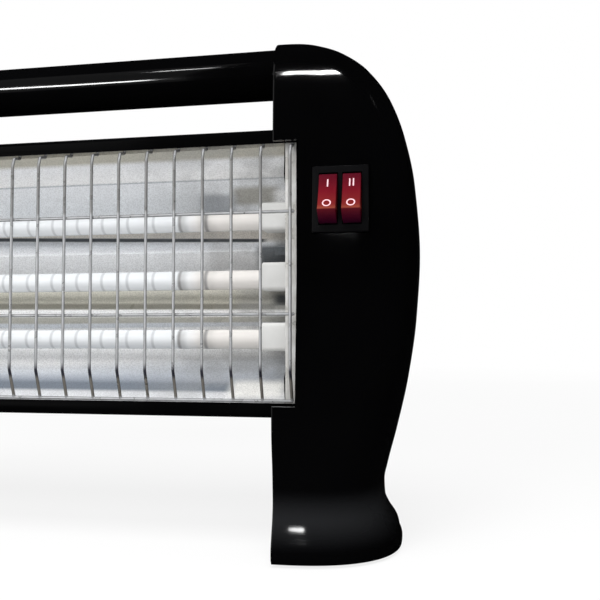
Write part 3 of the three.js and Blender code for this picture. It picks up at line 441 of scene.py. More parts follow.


# The upper painted bands droop towards the right, and the lowest one widens upward to both ends.
DROOP_START, DROOP_RATE, RISE_RATE, LINE_SOFT = 0.027, 0.029, 0.042, 0.0004
rightward = sum_of(tree, "MAXIMUM", sum_of(tree, "ADD", across, DROOP_START), 0.0)
droop = times(tree, rightward, spread(tree, on_head(-30, 20), 0.0, DROOP_RATE))
rise = times(tree, on_head(-20, -40), on_head(-53, -44))
rise = times(tree, far_out, spread(tree, rise, 0.0, RISE_RATE))
lifted = sum_of(tree, "SUBTRACT", sum_of(tree, "ADD", up, droop), rise)
upper_part = on_head(36, 30)
fold = blended(tree, upper_part, up, lifted)
bands = banded(tree, fold, PAINTED_REFLECTION_BANDS, HEAD_Z)
# A dark line of painted shadow under the upper tube, fading out near the ends.
line = window(tree, lifted, (HEAD_Z + 21.3) * MM, (HEAD_Z + 23.3) * MM, LINE_SOFT)
bands = blended(tree, times(tree, line, span_of(tree, far_out, 0.126, 0.121)), bands, PAINTED_SHADE)
out = uneven(tree, 42.0, 1500.0)
near_end = span_of(tree, far_out, 0.04, 0.115)
blotch = times(tree, near_end, span_of(tree, out["Patches"], 0.1, 0.9))
bands = blended(tree, times(tree, blotch, 0.5), bands, (0.33, 0.335, 0.335))
# Marks near the ends: from and to in metres, low and high edge up the head, colour and strength. The pale one
# at the very end is a painted highlight, the two darkest are painted shade between the caps, the rest are
# patches.
SOFT_ALONG, SOFT_UP = 0.0035, 0.0018
for near, far, low, high, colour, strength in (
    (0.106, 0.130, 37.5, 46.0, (0.30, 0.285, 0.24), 0.8),
    (0.088, 0.107, 30.0, 43.0, (0.24, 0.26, 0.29), 0.65), (0.128, 0.140, 28.0, 44.0, PALE, 0.8),
    (0.109, 0.136, -60.0, -53.5, (0.84, 0.83, 0.79), 0.75),
    # Painted shade between the caps.
    (0.120, 0.140, 2.0, 15.4, PAINTED_SHADE, 0.92), (0.128, 0.140, -15.0, -9.4, PAINTED_SHADE, 0.9),
):
    level = window(tree, up, (HEAD_Z + low) * MM, (HEAD_Z + high) * MM, SOFT_UP)
    mark = times(tree, window(tree, far_out, near, far, SOFT_ALONG), level)
    bands = blended(tree, times(tree, mark, strength), bands, colour)
speckle = ramp(tree, out["Grain"], [(0.38, (0.80, 0.80, 0.80)), (0.6, (1.0, 1.0, 1.0))])
coated(tree, shader, out, blended(tree, 1.0, bands, speckle, "MULTIPLY"), (0.26, 0.4), 0.1, 0.00006)

# %% [markdown]
# ### The milky tubes
# The tubes are fused quartz with a milky coat, white where the coil lies behind it and warmer over the cold
# ends. The coil's supports show through as thin grey rings. All of this runs along the tube, so it follows
# X.

# %% Rings, cold ends and smudges of the tubes
RING_PITCH, RING_START, COLD_FROM, COLD_TO = 14.0, 11.3, 81.0, 95.2
tree, shader = material("milky_quartz", 0.12, IOR=1.45)
across, up = along_and_up(tree)
out = uneven(tree, 60.0, 500.0)
far_out = sum_of(tree, "ABSOLUTE", across)
shifted = sum_of(tree, "ADD", across, (RING_PITCH * 20.5 - RING_START) * MM)
turn = sum_of(tree, "FRACT", sum_of(tree, "DIVIDE", shifted, RING_PITCH * MM))
ring_at = sum_of(tree, "ABSOLUTE", sum_of(tree, "SUBTRACT", turn, 0.5))
rings_seen = times(tree, span_of(tree, ring_at, 0.085, 0.02), span_of(tree, far_out, 0.0995, 0.097))
warm = span_of(tree, far_out, COLD_FROM * MM, COLD_TO * MM)
# Burnt marks and smoke at both ends of the cold part, in metres from the middle.
burnt = window(tree, far_out, 0.0806, 0.0822, 0.0008)
burnt = sum_of(tree, "ADD", burnt, window(tree, far_out, 0.0944, 0.0962, 0.0008))
smoke = window(tree, far_out, 0.081, 0.085, 0.002)
smoke = sum_of(tree, "ADD", smoke, window(tree, far_out, 0.0925, 0.1, 0.003))
cloudy_smoke = times(tree, smoke, spread(tree, out["Patches"], 0.05, 0.5))
smudge = sum_of(tree, "ADD", times(tree, burnt, 0.55), cloudy_smoke)
glass_colour = blended(tree, warm, (0.70, 0.72, 0.74), (0.69, 0.665, 0.64))
glass_colour = blended(tree, times(tree, rings_seen, 0.45), glass_colour, (0.30, 0.31, 0.33))
glass_colour = blended(tree, smudge, glass_colour, (0.22, 0.215, 0.21))
coated(tree, shader, out, glass_colour, (0.1, 0.16), 0.03, 0.00005)

# %% [markdown]
# ### Finishes that follow a height
# The gloss black carries a painted sheen over the foot's top. The guard's wires are coated with tin, with
# painted shade above the upper cross wire, at the bend towards the lower lip and towards their edges, where a
# wire turns away from the eye; they are browner on the low slope. The rockers carry a painted warm highlight
# near their lower edge and painted shade towards both ends. A ramp on the height gives the rest.

# %% Gloss black
tree, shader = material("piano_black", 0.05, Specular_IOR_Level=0.22)
out = uneven(tree, 9.0, 140.0)
up = along_and_up(tree)[1]
deep = ramp(tree, out["Patches"], [(0.0, (0.0006, 0.0006, 0.0007)), (1.0, (0.0012, 0.0012, 0.0014))])
# A painted sheen low on the foot, where its top turns up to the light.
SHEEN_LOW, SHEEN_HIGH, SHEEN_SOFT = 0.0135, 0.0265, 0.0075
foot_sheen = window(tree, up, SHEEN_LOW, SHEEN_HIGH, SHEEN_SOFT)
coated(tree, shader, out, blended(tree, foot_sheen, deep, (0.0125, 0.013, 0.014)), (0.035, 0.075), 0.02, 0.0002)

# %% Guard wire
# Tin, with painted shade on the stretch above the upper cross wire, at the lower bend and at the edges, and a
# browner, darker colour on the low slope to the bottom rim wire.
TIN, TIN_PAINTED_SHADE = (0.62, 0.63, 0.65), (0.36, 0.36, 0.36)
BEND_PAINTED_SHADE, LIP_BROWN, EDGE_PAINTED_SHADE = (0.05, 0.05, 0.07), (0.30, 0.28, 0.25), (0.06, 0.06, 0.06)
tree, shader = material("bright_wire", 0.3, 0.5)
out = uneven(tree, 160.0, 900.0)
up = along_and_up(tree)[1]
tin_and_painted_shade = banded(
    tree, up,
    [(-62, TIN), (-60, TIN), (-59.3, LIP_BROWN), (-51, LIP_BROWN), (-49, BEND_PAINTED_SHADE), (-46.5, BEND_PAINTED_SHADE),
     (-43, TIN), (29.5, TIN), (31, TIN_PAINTED_SHADE), (54.5, TIN_PAINTED_SHADE), (57, TIN), (66, TIN)],
    HEAD_Z,
)
worn = ramp(tree, out["Patches"], [(0.0, (0.8, 0.8, 0.79)), (1.0, (1.0, 1.0, 1.0))])
# Painted shade towards the wire's edges, where it turns away from the eye.
slant = add_node(tree, "ShaderNodeLayerWeight", Blend=0.5)
edges = span_of(tree, slant.outputs["Facing"], 0.16, 0.5)
tin_and_painted_shade = blended(tree, times(tree, edges, 0.85), tin_and_painted_shade, EDGE_PAINTED_SHADE)
coated(tree, shader, out, blended(tree, 1.0, tin_and_painted_shade, worn, "MULTIPLY"), (0.26, 0.38), 0.03, 0.00002)

# %% Red rockers
tree, shader = material("red_rocker", 0.4, Specular_IOR_Level=0.08)
out = uneven(tree, 80.0, 1500.0)
up = along_and_up(tree)[1]
# Painted light on the rocker: a warm painted highlight near its lower edge and painted shade towards both
# ends.
red = banded(
    tree, up,
    [(153.2, (0.016, 0.0007, 0.009)), (156.6, (0.052, 0.001, 0.009)), (159.1, (0.09, 0.003, 0.009)),
     (159.6, (0.21, 0.042, 0.026)), (161.5, (0.155, 0.013, 0.013)), (168, (0.125, 0.004, 0.010)),
     (176.4, (0.07, 0.003, 0.010))],
)
cloudy = ramp(tree, out["Patches"], [(0.0, (0.88, 0.88, 0.88)), (1.0, (1.0, 1.0, 1.0))])
coated(tree, shader, out, blended(tree, 1.0, red, cloudy, "MULTIPLY"), (0.34, 0.44), 0.03, 0.00005)
print(len(bpy.data.materials), "materials")

# %% [markdown]
# ## Camera
# The photograph shows the right half of the heater from a little to its right, almost level. The camera
# stands where its lines of perspective meet.

# %% The camera
CAMERA_PLACE, CAMERA_LENS, SENSOR = (0.20635, -0.3718, 0.1108), 43.30, 36.0
CAMERA_YAW, CAMERA_PITCH, CAMERA_ROLL = 0.1772, 0.0231, -0.0058
camera = bpy.data.objects.new("camera", bpy.data.cameras.new("camera"))
bpy.context.scene.collection.objects.link(camera)
camera.location = CAMERA_PLACE
camera.rotation_mode = "QUATERNION"
facing = Matrix.Rotation(CAMERA_YAW, 3, "Z") @ Matrix.Rotation(math.pi / 2 + CAMERA_PITCH, 3, "X")
camera.rotation_quaternion = (facing @ Matrix.Rotation(CAMERA_ROLL, 3, "Z")).to_quaternion()
camera.data.sensor_width, camera.data.lens = SENSOR, CAMERA_LENS
camera.data.clip_start, camera.data.clip_end = 0.01, 50
camera.data.dof.use_dof = False
bpy.context.scene.camera = camera
print("camera turned", round(math.degrees(CAMERA_YAW), 1), "degrees to the left")

# %% [markdown]
# ## Studio
# The background is white to the camera and in reflections. Two soft boxes light the heater and its floor,
# and leave no mark on the gloss. What the gloss shows is set apart, with boards that only reflections see:
# dark flags keep the black deep, and narrow glowing cards draw its streaks, as strip lights do in a product
# studio. The cards are each linked to one gloss piece alone, so that the metal isn't burnt out by them.


# %% World, floor, lamps and flags
def seen_directly(tree):
    """One for rays from the camera, in reflections and through glass."""
    path = add_node(tree, "ShaderNodeLightPath").outputs
    total = path["Is Camera Ray"]
    for label in ("Is Glossy Ray", "Is Transmission Ray"):
        total = sum_of(tree, "MAXIMUM", total, path[label])
    return total


world = bpy.data.worlds.new("studio")
bpy.context.scene.world = world
world.use_nodes = True
sky = world.node_tree
fill(sky, sky.nodes["Background"], Strength=spread(sky, seen_directly(sky), 0.5, 1.0), Color=(1, 1, 1, 1))

FLOOR_HALF, FADE_FROM, FADE_TO, FADE_SHARE = 9e3, 0.3, 1.3, 0.82
corners = [(x * FLOOR_HALF, y * FLOOR_HALF, 0) for x, y in ((-1, -1), (1, -1), (1, 1), (-1, 1))]
floor = new_object("floor", corners, [(0, 1, 2, 3)])
tree, shader = material("pale_floor", 0.7, Base_Color=(0.85, 0.85, 0.85, 1))
away = add_node(tree, "ShaderNodeVectorMath", operation="LENGTH", Vector=object_place(tree))
fade = add_node(tree, "ShaderNodeMapRange", From_Min=FADE_FROM, From_Max=FADE_TO, To_Min=FADE_SHARE)
blend = add_node(tree, "ShaderNodeMixShader")
link(
    tree, (away.outputs["Value"], fade.inputs["Value"]),
    (times(tree, seen_directly(tree), fade.outputs["Result"]), blend.inputs["Fac"]),
    (shader.outputs["BSDF"], blend.inputs[1]),
    (add_node(tree, "ShaderNodeEmission").outputs["Emission"], blend.inputs[2]),
    (blend.outputs["Shader"], tree.nodes["Material Output"].inputs["Surface"]),
)
floor.data.materials.append(paints["pale_floor"])


def soft_box(name, place_of, towards, size, power):
    lamp = bpy.data.objects.new(name, bpy.data.lights.new(name, "AREA"))
    bpy.context.scene.collection.objects.link(lamp)
    lamp.data.shape = "RECTANGLE"
    lamp.data.size, lamp.data.size_y = size
    lamp.data.energy = power
    lamp.location = place_of
    lamp.rotation_mode = "QUATERNION"
    lamp.rotation_quaternion = (Vector(towards) - Vector(place_of)).to_track_quat("-Z", "Y")
    return lamp


def only_reflected(board):
    for ray in ("camera", "diffuse", "transmission", "volume_scatter", "shadow"):
        setattr(board, "visible_" + ray, False)


def flag(name, *corners):
    """A dark board that only reflections see, from its corners in millimetres, or from two opposite ones."""
    if len(corners) == 2:
        (x0, y0, z0), (x1, y1, z1) = corners
        corners = [(x0, y0, z0), (x1, y1, z0), (x1, y1, z1), (x0, y0, z1)]
    board = new_object(name, corners, [(0, 1, 2, 3)])
    board.data.materials.append(paints["flag_cloth"])
    only_reflected(board)


# The dark room's edges, and the plane of the cards just inside its front.
LEFT, INNER, SIDE, RIGHT, TOP, LOW, CARD_Y = -1500, -200, 900, 1500, 1300, 1, -898
material("flag_cloth", 1.0, Base_Color=(0.004, 0.004, 0.004, 1), Specular_IOR_Level=0.0)
flag("front_flag", (INNER, -SIDE, 0), (RIGHT, -SIDE, TOP))
flag("right_flag", (SIDE, -SIDE, 0), (SIDE, SIDE, TOP))
flag("back_flag", (LEFT, SIDE, 0), (SIDE, SIDE, TOP))
for name, z in (("top_flag", TOP), ("low_flag", LOW)):
    flag(name, (LEFT, -SIDE, z), (SIDE, -SIDE, z), (SIDE, SIDE, z), (LEFT, SIDE, z))
shone_on = {piece: bpy.data.collections.new(piece + "_gloss") for piece in ("handle", "right_casing")}


def card(name, strength, piece, *rows):
    """A glowing strip for one gloss piece, from rows of its x, low edge and high edge in millimetres."""
    points = [(x, CARD_Y, z) for x, low, high in rows for z in (low, high)]
    strip = new_object(name, points, [(2 * i, 2 * i + 1, 2 * i + 3, 2 * i + 2) for i in range(len(rows) - 1)])
    strip.light_linking.receiver_collection = shone_on[piece]
    white, black = (1, 1, 1, 1), (0, 0, 0, 1)
    material(name + "_glow", 1.0, Base_Color=black, Emission_Color=white, Emission_Strength=strength)
    strip.data.materials.append(paints[name + "_glow"])
    only_reflected(strip)


card(
    "long_card", 150.0, "right_casing", (-70, 915, 960), (-48, 918, 970), (-5, 925, 978), (49, 938, 996),
    (124, 969, 1042), (225, 1060, 1150), (300, 1140, 1240), (357, 1200, 1290), (440, 1330, 1420),
)
card("low_card", 260.0, "handle", (-640, 290, 370), (-544, 255, 335), (-402, 195, 275), (-262, 195, 250))
card("high_card", 160.0, "handle", (-335, 890, 950), (-212, 897, 935))
card("foot_card", 70.0, "right_casing", (50, 458, 470), (110, 450, 478), (200, 446, 480), (228, 456, 472))
card("side_card", 50.0, "right_casing", (1095, 1440, 1515), (1150, 1440, 1515))
AIM = (0.05, 0, 0.12)
for name, place_of, size, power in (
    ("top_box", (0.1, -0.45, 1.1), (0.7, 0.5), 11.0), ("front_box", (-0.40, -0.95, 0.75), (0.6, 0.4), 7.0),
):
    soft_box(name, place_of, AIM, size, power).visible_glossy = False

# %% [markdown]
# ## Side casings
# Each casing is one moulded shell: a flattened tube that leans in, swells in the middle and flares into a
# foot. Level sections of it are squarish ovals cut off at the rim, so the shape is a skin over many such
# sections, eased between a few that set width, reach and squareness. A smaller skin of the same shape is cut
# out as the hollow.

# %% The rule of the casing's shape
# Each row: height, width from the rim, front reach and back reach as shares, then squareness.
CASING_SHARES = [
    (0.0, 0.828, 0.984, 0.985, 2.5),
    (0.008, 0.813, 1.0, 1.0, 2.5),
    (0.022, 0.806, 0.997, 0.99, 2.5),
    (0.048, 0.749, 0.963, 0.94, 2.5),
    (0.08, 0.707, 0.913, 0.8, 2.6),
    (0.112, 0.704, 0.889, 0.695, 2.7),
    (0.153, 0.736, 0.888, 0.645, 2.9),
    (0.221, 0.806, 0.904, 0.62, 3.2),
    (0.321, 0.895, 0.876, 0.61, 3.8),
    (0.442, 0.965, 0.822, 0.593, 4.2),
    (0.582, 1.0, 0.761, 0.56, 4.5),
    (0.703, 0.975, 0.707, 0.525, 4.5),
    (0.795, 0.913, 0.667, 0.485, 4.2),
    (0.871, 0.815, 0.63, 0.42, 3.8),
    (0.932, 0.662, 0.59, 0.32, 3.4),
    (0.968, 0.495, 0.533, 0.17, 3.0),
    (0.988, 0.337, 0.44, 0.0, 2.7),
    (0.9976, 0.226, 0.352, -0.1, 2.5),
    (1.0, 0.158, 0.3, -0.17, 2.4),
]


def eased_row(share):
    """The row at any share of the height, eased between the listed ones."""
    rows = CASING_SHARES
    k = max(i for i, row in enumerate(rows) if row[0] <= share)
    k = min(k, len(rows) - 2)
    step = rows[k + 1][0] - rows[k][0]
    part = (share - rows[k][0]) / step

    def rate(i, column):
        return (rows[i + 1][column] - rows[i][column]) / (rows[i + 1][0] - rows[i][0])

    def slope(i, column):
        if i in (0, len(rows) - 1):
            return rate(i - 1, column) if i else 0.0
        before, after = rate(i - 1, column), rate(i, column)
        return 0.0 if before * after <= 0 else 2 * before * after / (before + after)

    values = []
    for column in range(5):
        a, b = rows[k][column], rows[k + 1][column]
        ma, mb = slope(k, column) * step, slope(k + 1, column) * step
        t2, t3 = part * part, part**3
        values.append(
            a * (2 * t3 - 3 * t2 + 1) + ma * (t3 - 2 * t2 + part) + b * (3 * t2 - 2 * t3) + mb * (t3 - t2)
        )
    values[0] = share
    return values


def casing_section(share, inset=0.0, rim_round=0.0, past_rim=0.0, steps=84):
    """A level section: round the rim's front edge, round the outside and round the rim's back edge."""
    row_share, width_share, front_share, back_share, square = eased_row(share)
    z = FOOT_PROUD + CASING_HEIGHT * row_share
    rim = RIM_FOOT + (RIM_TOP - RIM_FOOT) * row_share
    front = HALF_DEPTH * front_share + RIDGE_Y - inset
    back = HALF_DEPTH * back_share - RIDGE_Y - inset
    edge = min(rim_round, 0.35 * front, 0.35 * back)
    width = CASING_WIDTH * width_share - inset - edge
    ring = []
    for i in range(steps + 1):
        angle = -math.pi / 2 + math.pi * i / steps
        reach = front if angle < 0 else back
        c, s = max(math.cos(angle), 1e-9), math.sin(angle)
        radius = ((c / width) ** square + (abs(s) / reach) ** square) ** (-1 / square)
        ring.append((rim + edge + radius * c, RIDGE_Y + radius * s, z))
    if past_rim:
        return [(rim - past_rim, ring[0][1], z), *ring, (rim - past_rim, ring[-1][1], z)]
    turns = [math.radians(t) for t in (90, 67.5, 45, 22.5)]
    start = [(rim + edge - edge * math.sin(t), RIDGE_Y - front + edge - edge * math.cos(t), z) for t in turns]
    end = [(rim + edge - edge * math.sin(t), RIDGE_Y + back - edge + edge * math.cos(t), z) for t in turns]
    return [*start, *ring, *reversed(end)]


def heights(low, high, count):
    """Shares of the height, closer together at both ends, where the skin turns fastest."""
    eased = [0.5 - 0.5 * math.cos(math.pi * i / count) for i in range(count + 1)]
    return [low + (high - low) * e for e in eased]


# %% The casings
FLOOR_SHARE, HOLLOW_TOP, WALL, NOTCH_X = 3.0 / CASING_HEIGHT, 0.968, 2.5, 146.5
outer = [casing_section(share, rim_round=0.3) for share in heights(0.0, 1.0, 120)]
right_casing = new_object("right_casing", *skin(outer))
levels = heights(FLOOR_SHARE, HOLLOW_TOP, 60)
hollow = [casing_section(share, inset=WALL, past_rim=12, steps=48) for share in levels]
cut(right_casing, new_object("hollow", *skin(hollow)))
NOTCH_HALF, NOTCH_FRONT = OPENING + FIT, -14
cut(right_casing, box("notch", (110, NOTCH_FRONT, -NOTCH_HALF), (NOTCH_X, 0, NOTCH_HALF), head_frame))
left_casing = mirrored_copy(right_casing, "left_casing")
finished(left_casing, "piano_black", "gloss_black_casing", "left_casing_shell")
# The switch's frame sits in a shallow pocket, and its body goes through a smaller cutout.
POCKET_X, POCKET_Z, POCKET_DEPTH, CUTOUT_X, CUTOUT_Z = 13.4, 15.9, 2.3, 12.3, 14.3
pocket = box("pocket", (-POCKET_X, -12, -POCKET_Z), (POCKET_X, POCKET_DEPTH, POCKET_Z), in_switch)
cutout = box("cutout", (-CUTOUT_X, -12, -CUTOUT_Z), (CUTOUT_X, 12, CUTOUT_Z), in_switch)
bore = [(0, 25), (GLAND_HOLE, 25), (GLAND_HOLE, 50), (0, 50)]
gland_hole = turned("gland_hole", bore, 40, Matrix.Translation(GLAND_PLACE), "Y")
cut(right_casing, pocket, cutout, gland_hole)
finished(right_casing, "piano_black", "gloss_black_casing", "right_casing_shell")

# %% [markdown]
# ## Housing
# The housing is one sheet, bent round the head with a lip above and below its mouth. Its outline is drawn
# out to length, and Geometry Nodes then cut a grid of rounded slots into its back.


# %% The bent sheet
def arc(cx, cz, radius, start, end, steps=6):
    return [
        (cx + radius * math.cos(math.radians(start + (end - start) * i / steps)),
         cz + radius * math.sin(math.radians(start + (end - start) * i / steps)))
        for i in range(steps + 1)
    ]


def housing_outline(sheet=HOUSING_SHEET, corner=3.0):
    d, h, inner = HOUSING_DEPTH, HOUSING_HALF, corner - sheet
    outside = [(0, -OPENING)]
    outside += arc(corner, -h + corner, corner, 180, 270) + arc(d - corner, -h + corner, corner, 270, 360)
    outside += arc(d - corner, h - corner, corner, 0, 90) + arc(corner, h - corner, corner, 90, 180)
    outside += [(0, OPENING), (sheet, OPENING)]
    inside = arc(corner, h - corner, inner, 180, 90) + arc(d - corner, h - corner, inner, 90, 0)
    inside += arc(d - corner, -h + corner, inner, 360, 270) + arc(corner, -h + corner, inner, 270, 180)
    return outside + inside + [(sheet, -OPENING)]


HOUSING_END = 147.4
housing = drawn_out("housing", housing_outline(), -HOUSING_END, HOUSING_END, head_frame)
soft_edges(housing, 0.3, 2, 60)


# %% A slot cutter for Geometry Nodes
def node_tree(name, **inputs):
    """A tree with named inputs, with _ for a space in a name."""
    tree = bpy.data.node_groups.new(name, "GeometryNodeTree")
    tree.interface.new_socket("Geometry", in_out="INPUT", socket_type="NodeSocketGeometry")
    for label, kind in inputs.items():
        tree.interface.new_socket(label.replace("_", " "), in_out="INPUT", socket_type="NodeSocket" + kind)
    tree.interface.new_socket("Geometry", in_out="OUTPUT", socket_type="NodeSocketGeometry")
    return tree, tree.nodes.new("NodeGroupInput").outputs, tree.nodes.new("NodeGroupOutput").inputs


def step(tree, kind, **values):
    """Adds a node and gives back its first output, the shape that it makes."""
    return add_node(tree, kind, **values).outputs[0]


def last_steps(tree, shape, sizes, put):
    """Makes the copies real, sets the finish and gives the shape out."""
    real = step(tree, "GeometryNodeRealizeInstances", Geometry=shape)
    coat = step(tree, "GeometryNodeSetMaterial", Geometry=real, Material=sizes["Finish"])
    link(tree, (coat, put["Geometry"]))


def set_inputs(obj, tree, **values):
    """Runs a tree on an object with named sizes and keeps the plain mesh that comes out."""
    modifier = obj.modifiers.new(tree.name, "NODES")
    modifier.node_group = tree
    for item in tree.interface.items_tree:
        label = item.name.replace(" ", "_")
        if item.in_out == "INPUT" and label in values:
            modifier[item.identifier] = values[label]
    settle(obj)


# %% Vents in the back
vents, sizes, put = node_tree(
    "vent_slots", Slot_Length="Float", Slot_Height="Float", Columns="Int", Rows="Int", Pitch_X="Float",
    Pitch_Z="Float", Centre="Vector", Lean="Vector", Finish="Material",
)
SLOT_DEPTH, ROUND_SHARE, ROUND_STEPS, WELD = 0.006, 0.499, 5, 1e-6


def span_between(count, pitch):
    """From the first slot to the last one."""
    return times(vents, sum_of(vents, "SUBTRACT", sizes[count], 1), sizes[pitch])


slot_line = step(
    vents, "GeometryNodeCurvePrimitiveQuadrilateral", Width=sizes["Slot Length"], Height=sizes["Slot Height"],
)
slot_round = step(
    vents, "GeometryNodeFilletCurve", mode="POLY", Curve=slot_line, Count=ROUND_STEPS,
    Radius=times(vents, sizes["Slot Height"], ROUND_SHARE),
)
slot_face = step(vents, "GeometryNodeFillCurve", mode="NGONS", Curve=slot_round)
slot_solid = step(vents, "GeometryNodeExtrudeMesh", Mesh=slot_face, Offset_Scale=SLOT_DEPTH)
slot_back = step(vents, "GeometryNodeFlipFaces", Mesh=slot_face)
slot_join = add_node(vents, "GeometryNodeJoinGeometry")
for part in (slot_solid, slot_back):
    link(vents, (part, slot_join.inputs["Geometry"]))
slot = step(vents, "GeometryNodeMergeByDistance", Geometry=slot_join.outputs["Geometry"], Distance=WELD)
grid = step(
    vents, "GeometryNodeMeshGrid", Vertices_X=sizes["Columns"], Vertices_Y=sizes["Rows"],
    Size_X=span_between("Columns", "Pitch X"), Size_Y=span_between("Rows", "Pitch Z"),
)
slots = step(vents, "GeometryNodeInstanceOnPoints", Points=grid, Instance=slot)
stood = step(
    vents, "GeometryNodeTransform", Geometry=slots, Translation=sizes["Centre"], Rotation=sizes["Lean"],
)
whole = step(vents, "GeometryNodeRealizeInstances", Geometry=stood)
slotted = step(
    vents, "GeometryNodeMeshBoolean", operation="DIFFERENCE", Mesh_1=sizes["Geometry"], Mesh_2=whole,
)
last_steps(vents, slotted, sizes, put)
back_centre = head_frame @ Vector((0, HOUSING_DEPTH + 2.0, 0))
set_inputs(
    housing, vents, Slot_Length=13 * MM, Slot_Height=3.2 * MM, Columns=14, Rows=3, Pitch_X=18.508 * MM,
    Pitch_Z=26 * MM, Centre=tuple(back_centre * MM), Lean=(math.pi / 2 - HEAD_TILT, 0, 0),
    Finish=paints["stove_enamel"],
)
finished(housing, "stove_enamel", "black_paint", "housing_shell")

# %% [markdown]
# ## Reflector
# The reflector is a bright sheet folded along the heater: a flange, a slope to a crease, then a trough
# behind each tube. The end plates carry the tubes and have a flange that shows as a bright upright strip.

# %% The folded sheet
SHEET, LIP_DEPTH, WALL_TOP = 0.8, 5.0, 61.4
CREASE_Z, CREASE_Y, RIDGE_DEPTH, TROUGH = 51.1, 22.03, 23.02, 31.04
ridges = [(tube_height(i) + tube_height(i + 1)) / 2 for i in range(2)]
edge = HOUSING_HALF - HOUSING_SHEET - FIT


def trough(top, bottom, top_depth, bottom_depth, steps=16):
    points = []
    for i in range(1, steps + 1):
        part = i / steps
        rim = top_depth + (bottom_depth - top_depth) * part
        points.append((rim + (TROUGH - rim) * 4 * part * (1 - part), top + (bottom - top) * part))
    return points


face = [(LIP_DEPTH, edge), (LIP_DEPTH, WALL_TOP), (CREASE_Y, CREASE_Z)]
face += trough(CREASE_Z, ridges[0], CREASE_Y, RIDGE_DEPTH)
face += trough(ridges[0], ridges[1], RIDGE_DEPTH, RIDGE_DEPTH)
face += trough(ridges[1], -CREASE_Z, RIDGE_DEPTH, CREASE_Y) + [(LIP_DEPTH, -WALL_TOP), (LIP_DEPTH, -edge)]
back_face = []
for i, (depth, height) in enumerate(face):
    before, after = Vector(face[max(i - 1, 0)]), Vector(face[min(i + 1, len(face) - 1)])
    way = (after - before).normalized()
    back_face.append((depth - way.y * SHEET, height + way.x * SHEET))
line = face + back_face[::-1]
# The sheet's ends flare over its front part, to meet the flanges of the end plates.
SHEET_END, FLARE, FLARE_FROM, FLARE_LENGTH = 134.3, 3.8, 13.0, 7.0
ends = [SHEET_END + FLARE * min(1.0, max(0.0, (FLARE_FROM - depth) / FLARE_LENGTH)) for depth, height in line]
rings = [[(side * x, depth, height) for x, (depth, height) in zip(ends, line)] for side in (-1, 1)]
reflector = new_object("folded_reflector", *skin(rings), head_frame)
TAB_FROM, TAB_TO, TAB_HALF = 129.3, 138.3, 2.5
tabs = []
for x0, x1 in ((-TAB_TO, -TAB_FROM), (TAB_FROM, TAB_TO)):
    for z in ridges:
        low, high = (x0, RIDGE_DEPTH - 0.05, z - TAB_HALF), (x1, RIDGE_DEPTH + SHEET, z + TAB_HALF)
        tab = box("tab", low, high, head_frame)
        soft_edges(tab, 0.3, 2, 60)
        tabs.append(tab)
join_to(reflector, tabs)
finished(reflector, "bright_sheet", "bright_reflector", "reflector", angle=20)

# %% The end plates
PLATE_X, FLANGE_X, PLATE_Y, PLATE_BACK, FOLD = 138.6, 144.2, 3.4, 34.04, 1.0
fold = [(PLATE_X + FOLD + x, PLATE_Y + FOLD + y) for x, y in arc(0, 0, FOLD, 180, 270, 6)]
fold += [(FLANGE_X, PLATE_Y), (FLANGE_X, PLATE_Y + SHEET)]
fold += [(PLATE_X + FOLD + x, PLATE_Y + FOLD + y) for x, y in arc(0, 0, FOLD - SHEET, 270, 180, 4)]
fold += [(PLATE_X + SHEET, PLATE_BACK), (PLATE_X, PLATE_BACK)]
plate = drawn_up("right_reflector_end_plate", fold, -edge, edge, head_frame)
HOLE_R = 4.8
for index in range(3):
    here = head_frame @ Matrix.Translation((0, TUBE_DEPTH, tube_height(index)))
    cut(plate, turned("hole", [(0, 130), (HOLE_R, 130), (HOLE_R, 150), (0, 150)], 32, here))
left_plate = mirrored_copy(plate, "left_reflector_end_plate")
finished(plate, "end_sheet", "bright_reflector", "right_reflector_end")
finished(left_plate, "end_sheet", "bright_reflector", "left_reflector_end")

# %% [markdown]
# ## Tubes and caps
# Each element is a milky quartz tube with a square ceramic cap on each end. The coil of resistance wire in
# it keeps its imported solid.


# %% The elements
LEVELS = ("upper", "middle", "lower")


def square_ring(half, corner, x, steps=4):
    points = []
    for sy, sz, start in ((1, 1, 0), (-1, 1, 90), (-1, -1, 180), (1, -1, 270)):
        corners = arc(sy * (half - corner), sz * (half - corner), corner, start, start + 90, steps)
        points += [(x, y, z) for y, z in corners]
    return points


TUBE_R, TUBE_BORE, TUBE_HALF = 4.9, 3.9, 132.6
tube_line = [(TUBE_BORE, -TUBE_HALF), (4.6, -TUBE_HALF), (TUBE_R, -132.3)]
tube_line += [(TUBE_R, 132.3), (4.6, TUBE_HALF), (TUBE_BORE, TUBE_HALF)]
CAP_RINGS = ((6.6, 1.8, 124.9), (7.0, 2.0, 125.3), (7.0, 2.0, 137.9), (6.6, 1.8, 138.3))
CAP_LIFT, SOCKET_R = 1.2, 5.2
for index, level in enumerate(LEVELS):
    here = head_frame @ Matrix.Translation((0, TUBE_DEPTH, tube_height(index)))
    tube = turned("quartz_tube_" + level + "_glass", tube_line, 48, here)
    finished(tube, "milky_quartz", "milky_quartz", "quartz_tube_" + level)
    rings = [square_ring(*ring) for ring in CAP_RINGS]
    cap = new_object("right_ceramic_cap_" + level, *skin(rings), here @ Matrix.Translation((0, 0, CAP_LIFT)))
    cut(cap, turned("socket", [(0, 120), (SOCKET_R, 120), (SOCKET_R, 132.9), (0, 132.9)], 32, here))
    neck = turned("neck", [(1.1, 138.0), (4.5, 138.0), (4.5, 141.7), (4.2, 142.0), (1.1, 142.0)], 32, here)
    combine(cap, neck, "UNION")
    left_cap = mirrored_copy(cap, "left_ceramic_cap_" + level)
    finished(cap, "white_ceramic", "white_ceramic", "right_cap_" + level)
    finished(left_cap, "white_ceramic", "white_ceramic", "left_cap_" + level)

# %% [markdown]
# ## Wire guard
# The guard is a row of bent wires, welded to two cross wires and to a rim wire above and below. One bent
# line is enough: Geometry Nodes round its bends, give it thickness and repeat it along the heater. The long
# wires are straight lines through the same tree, joined to the row.

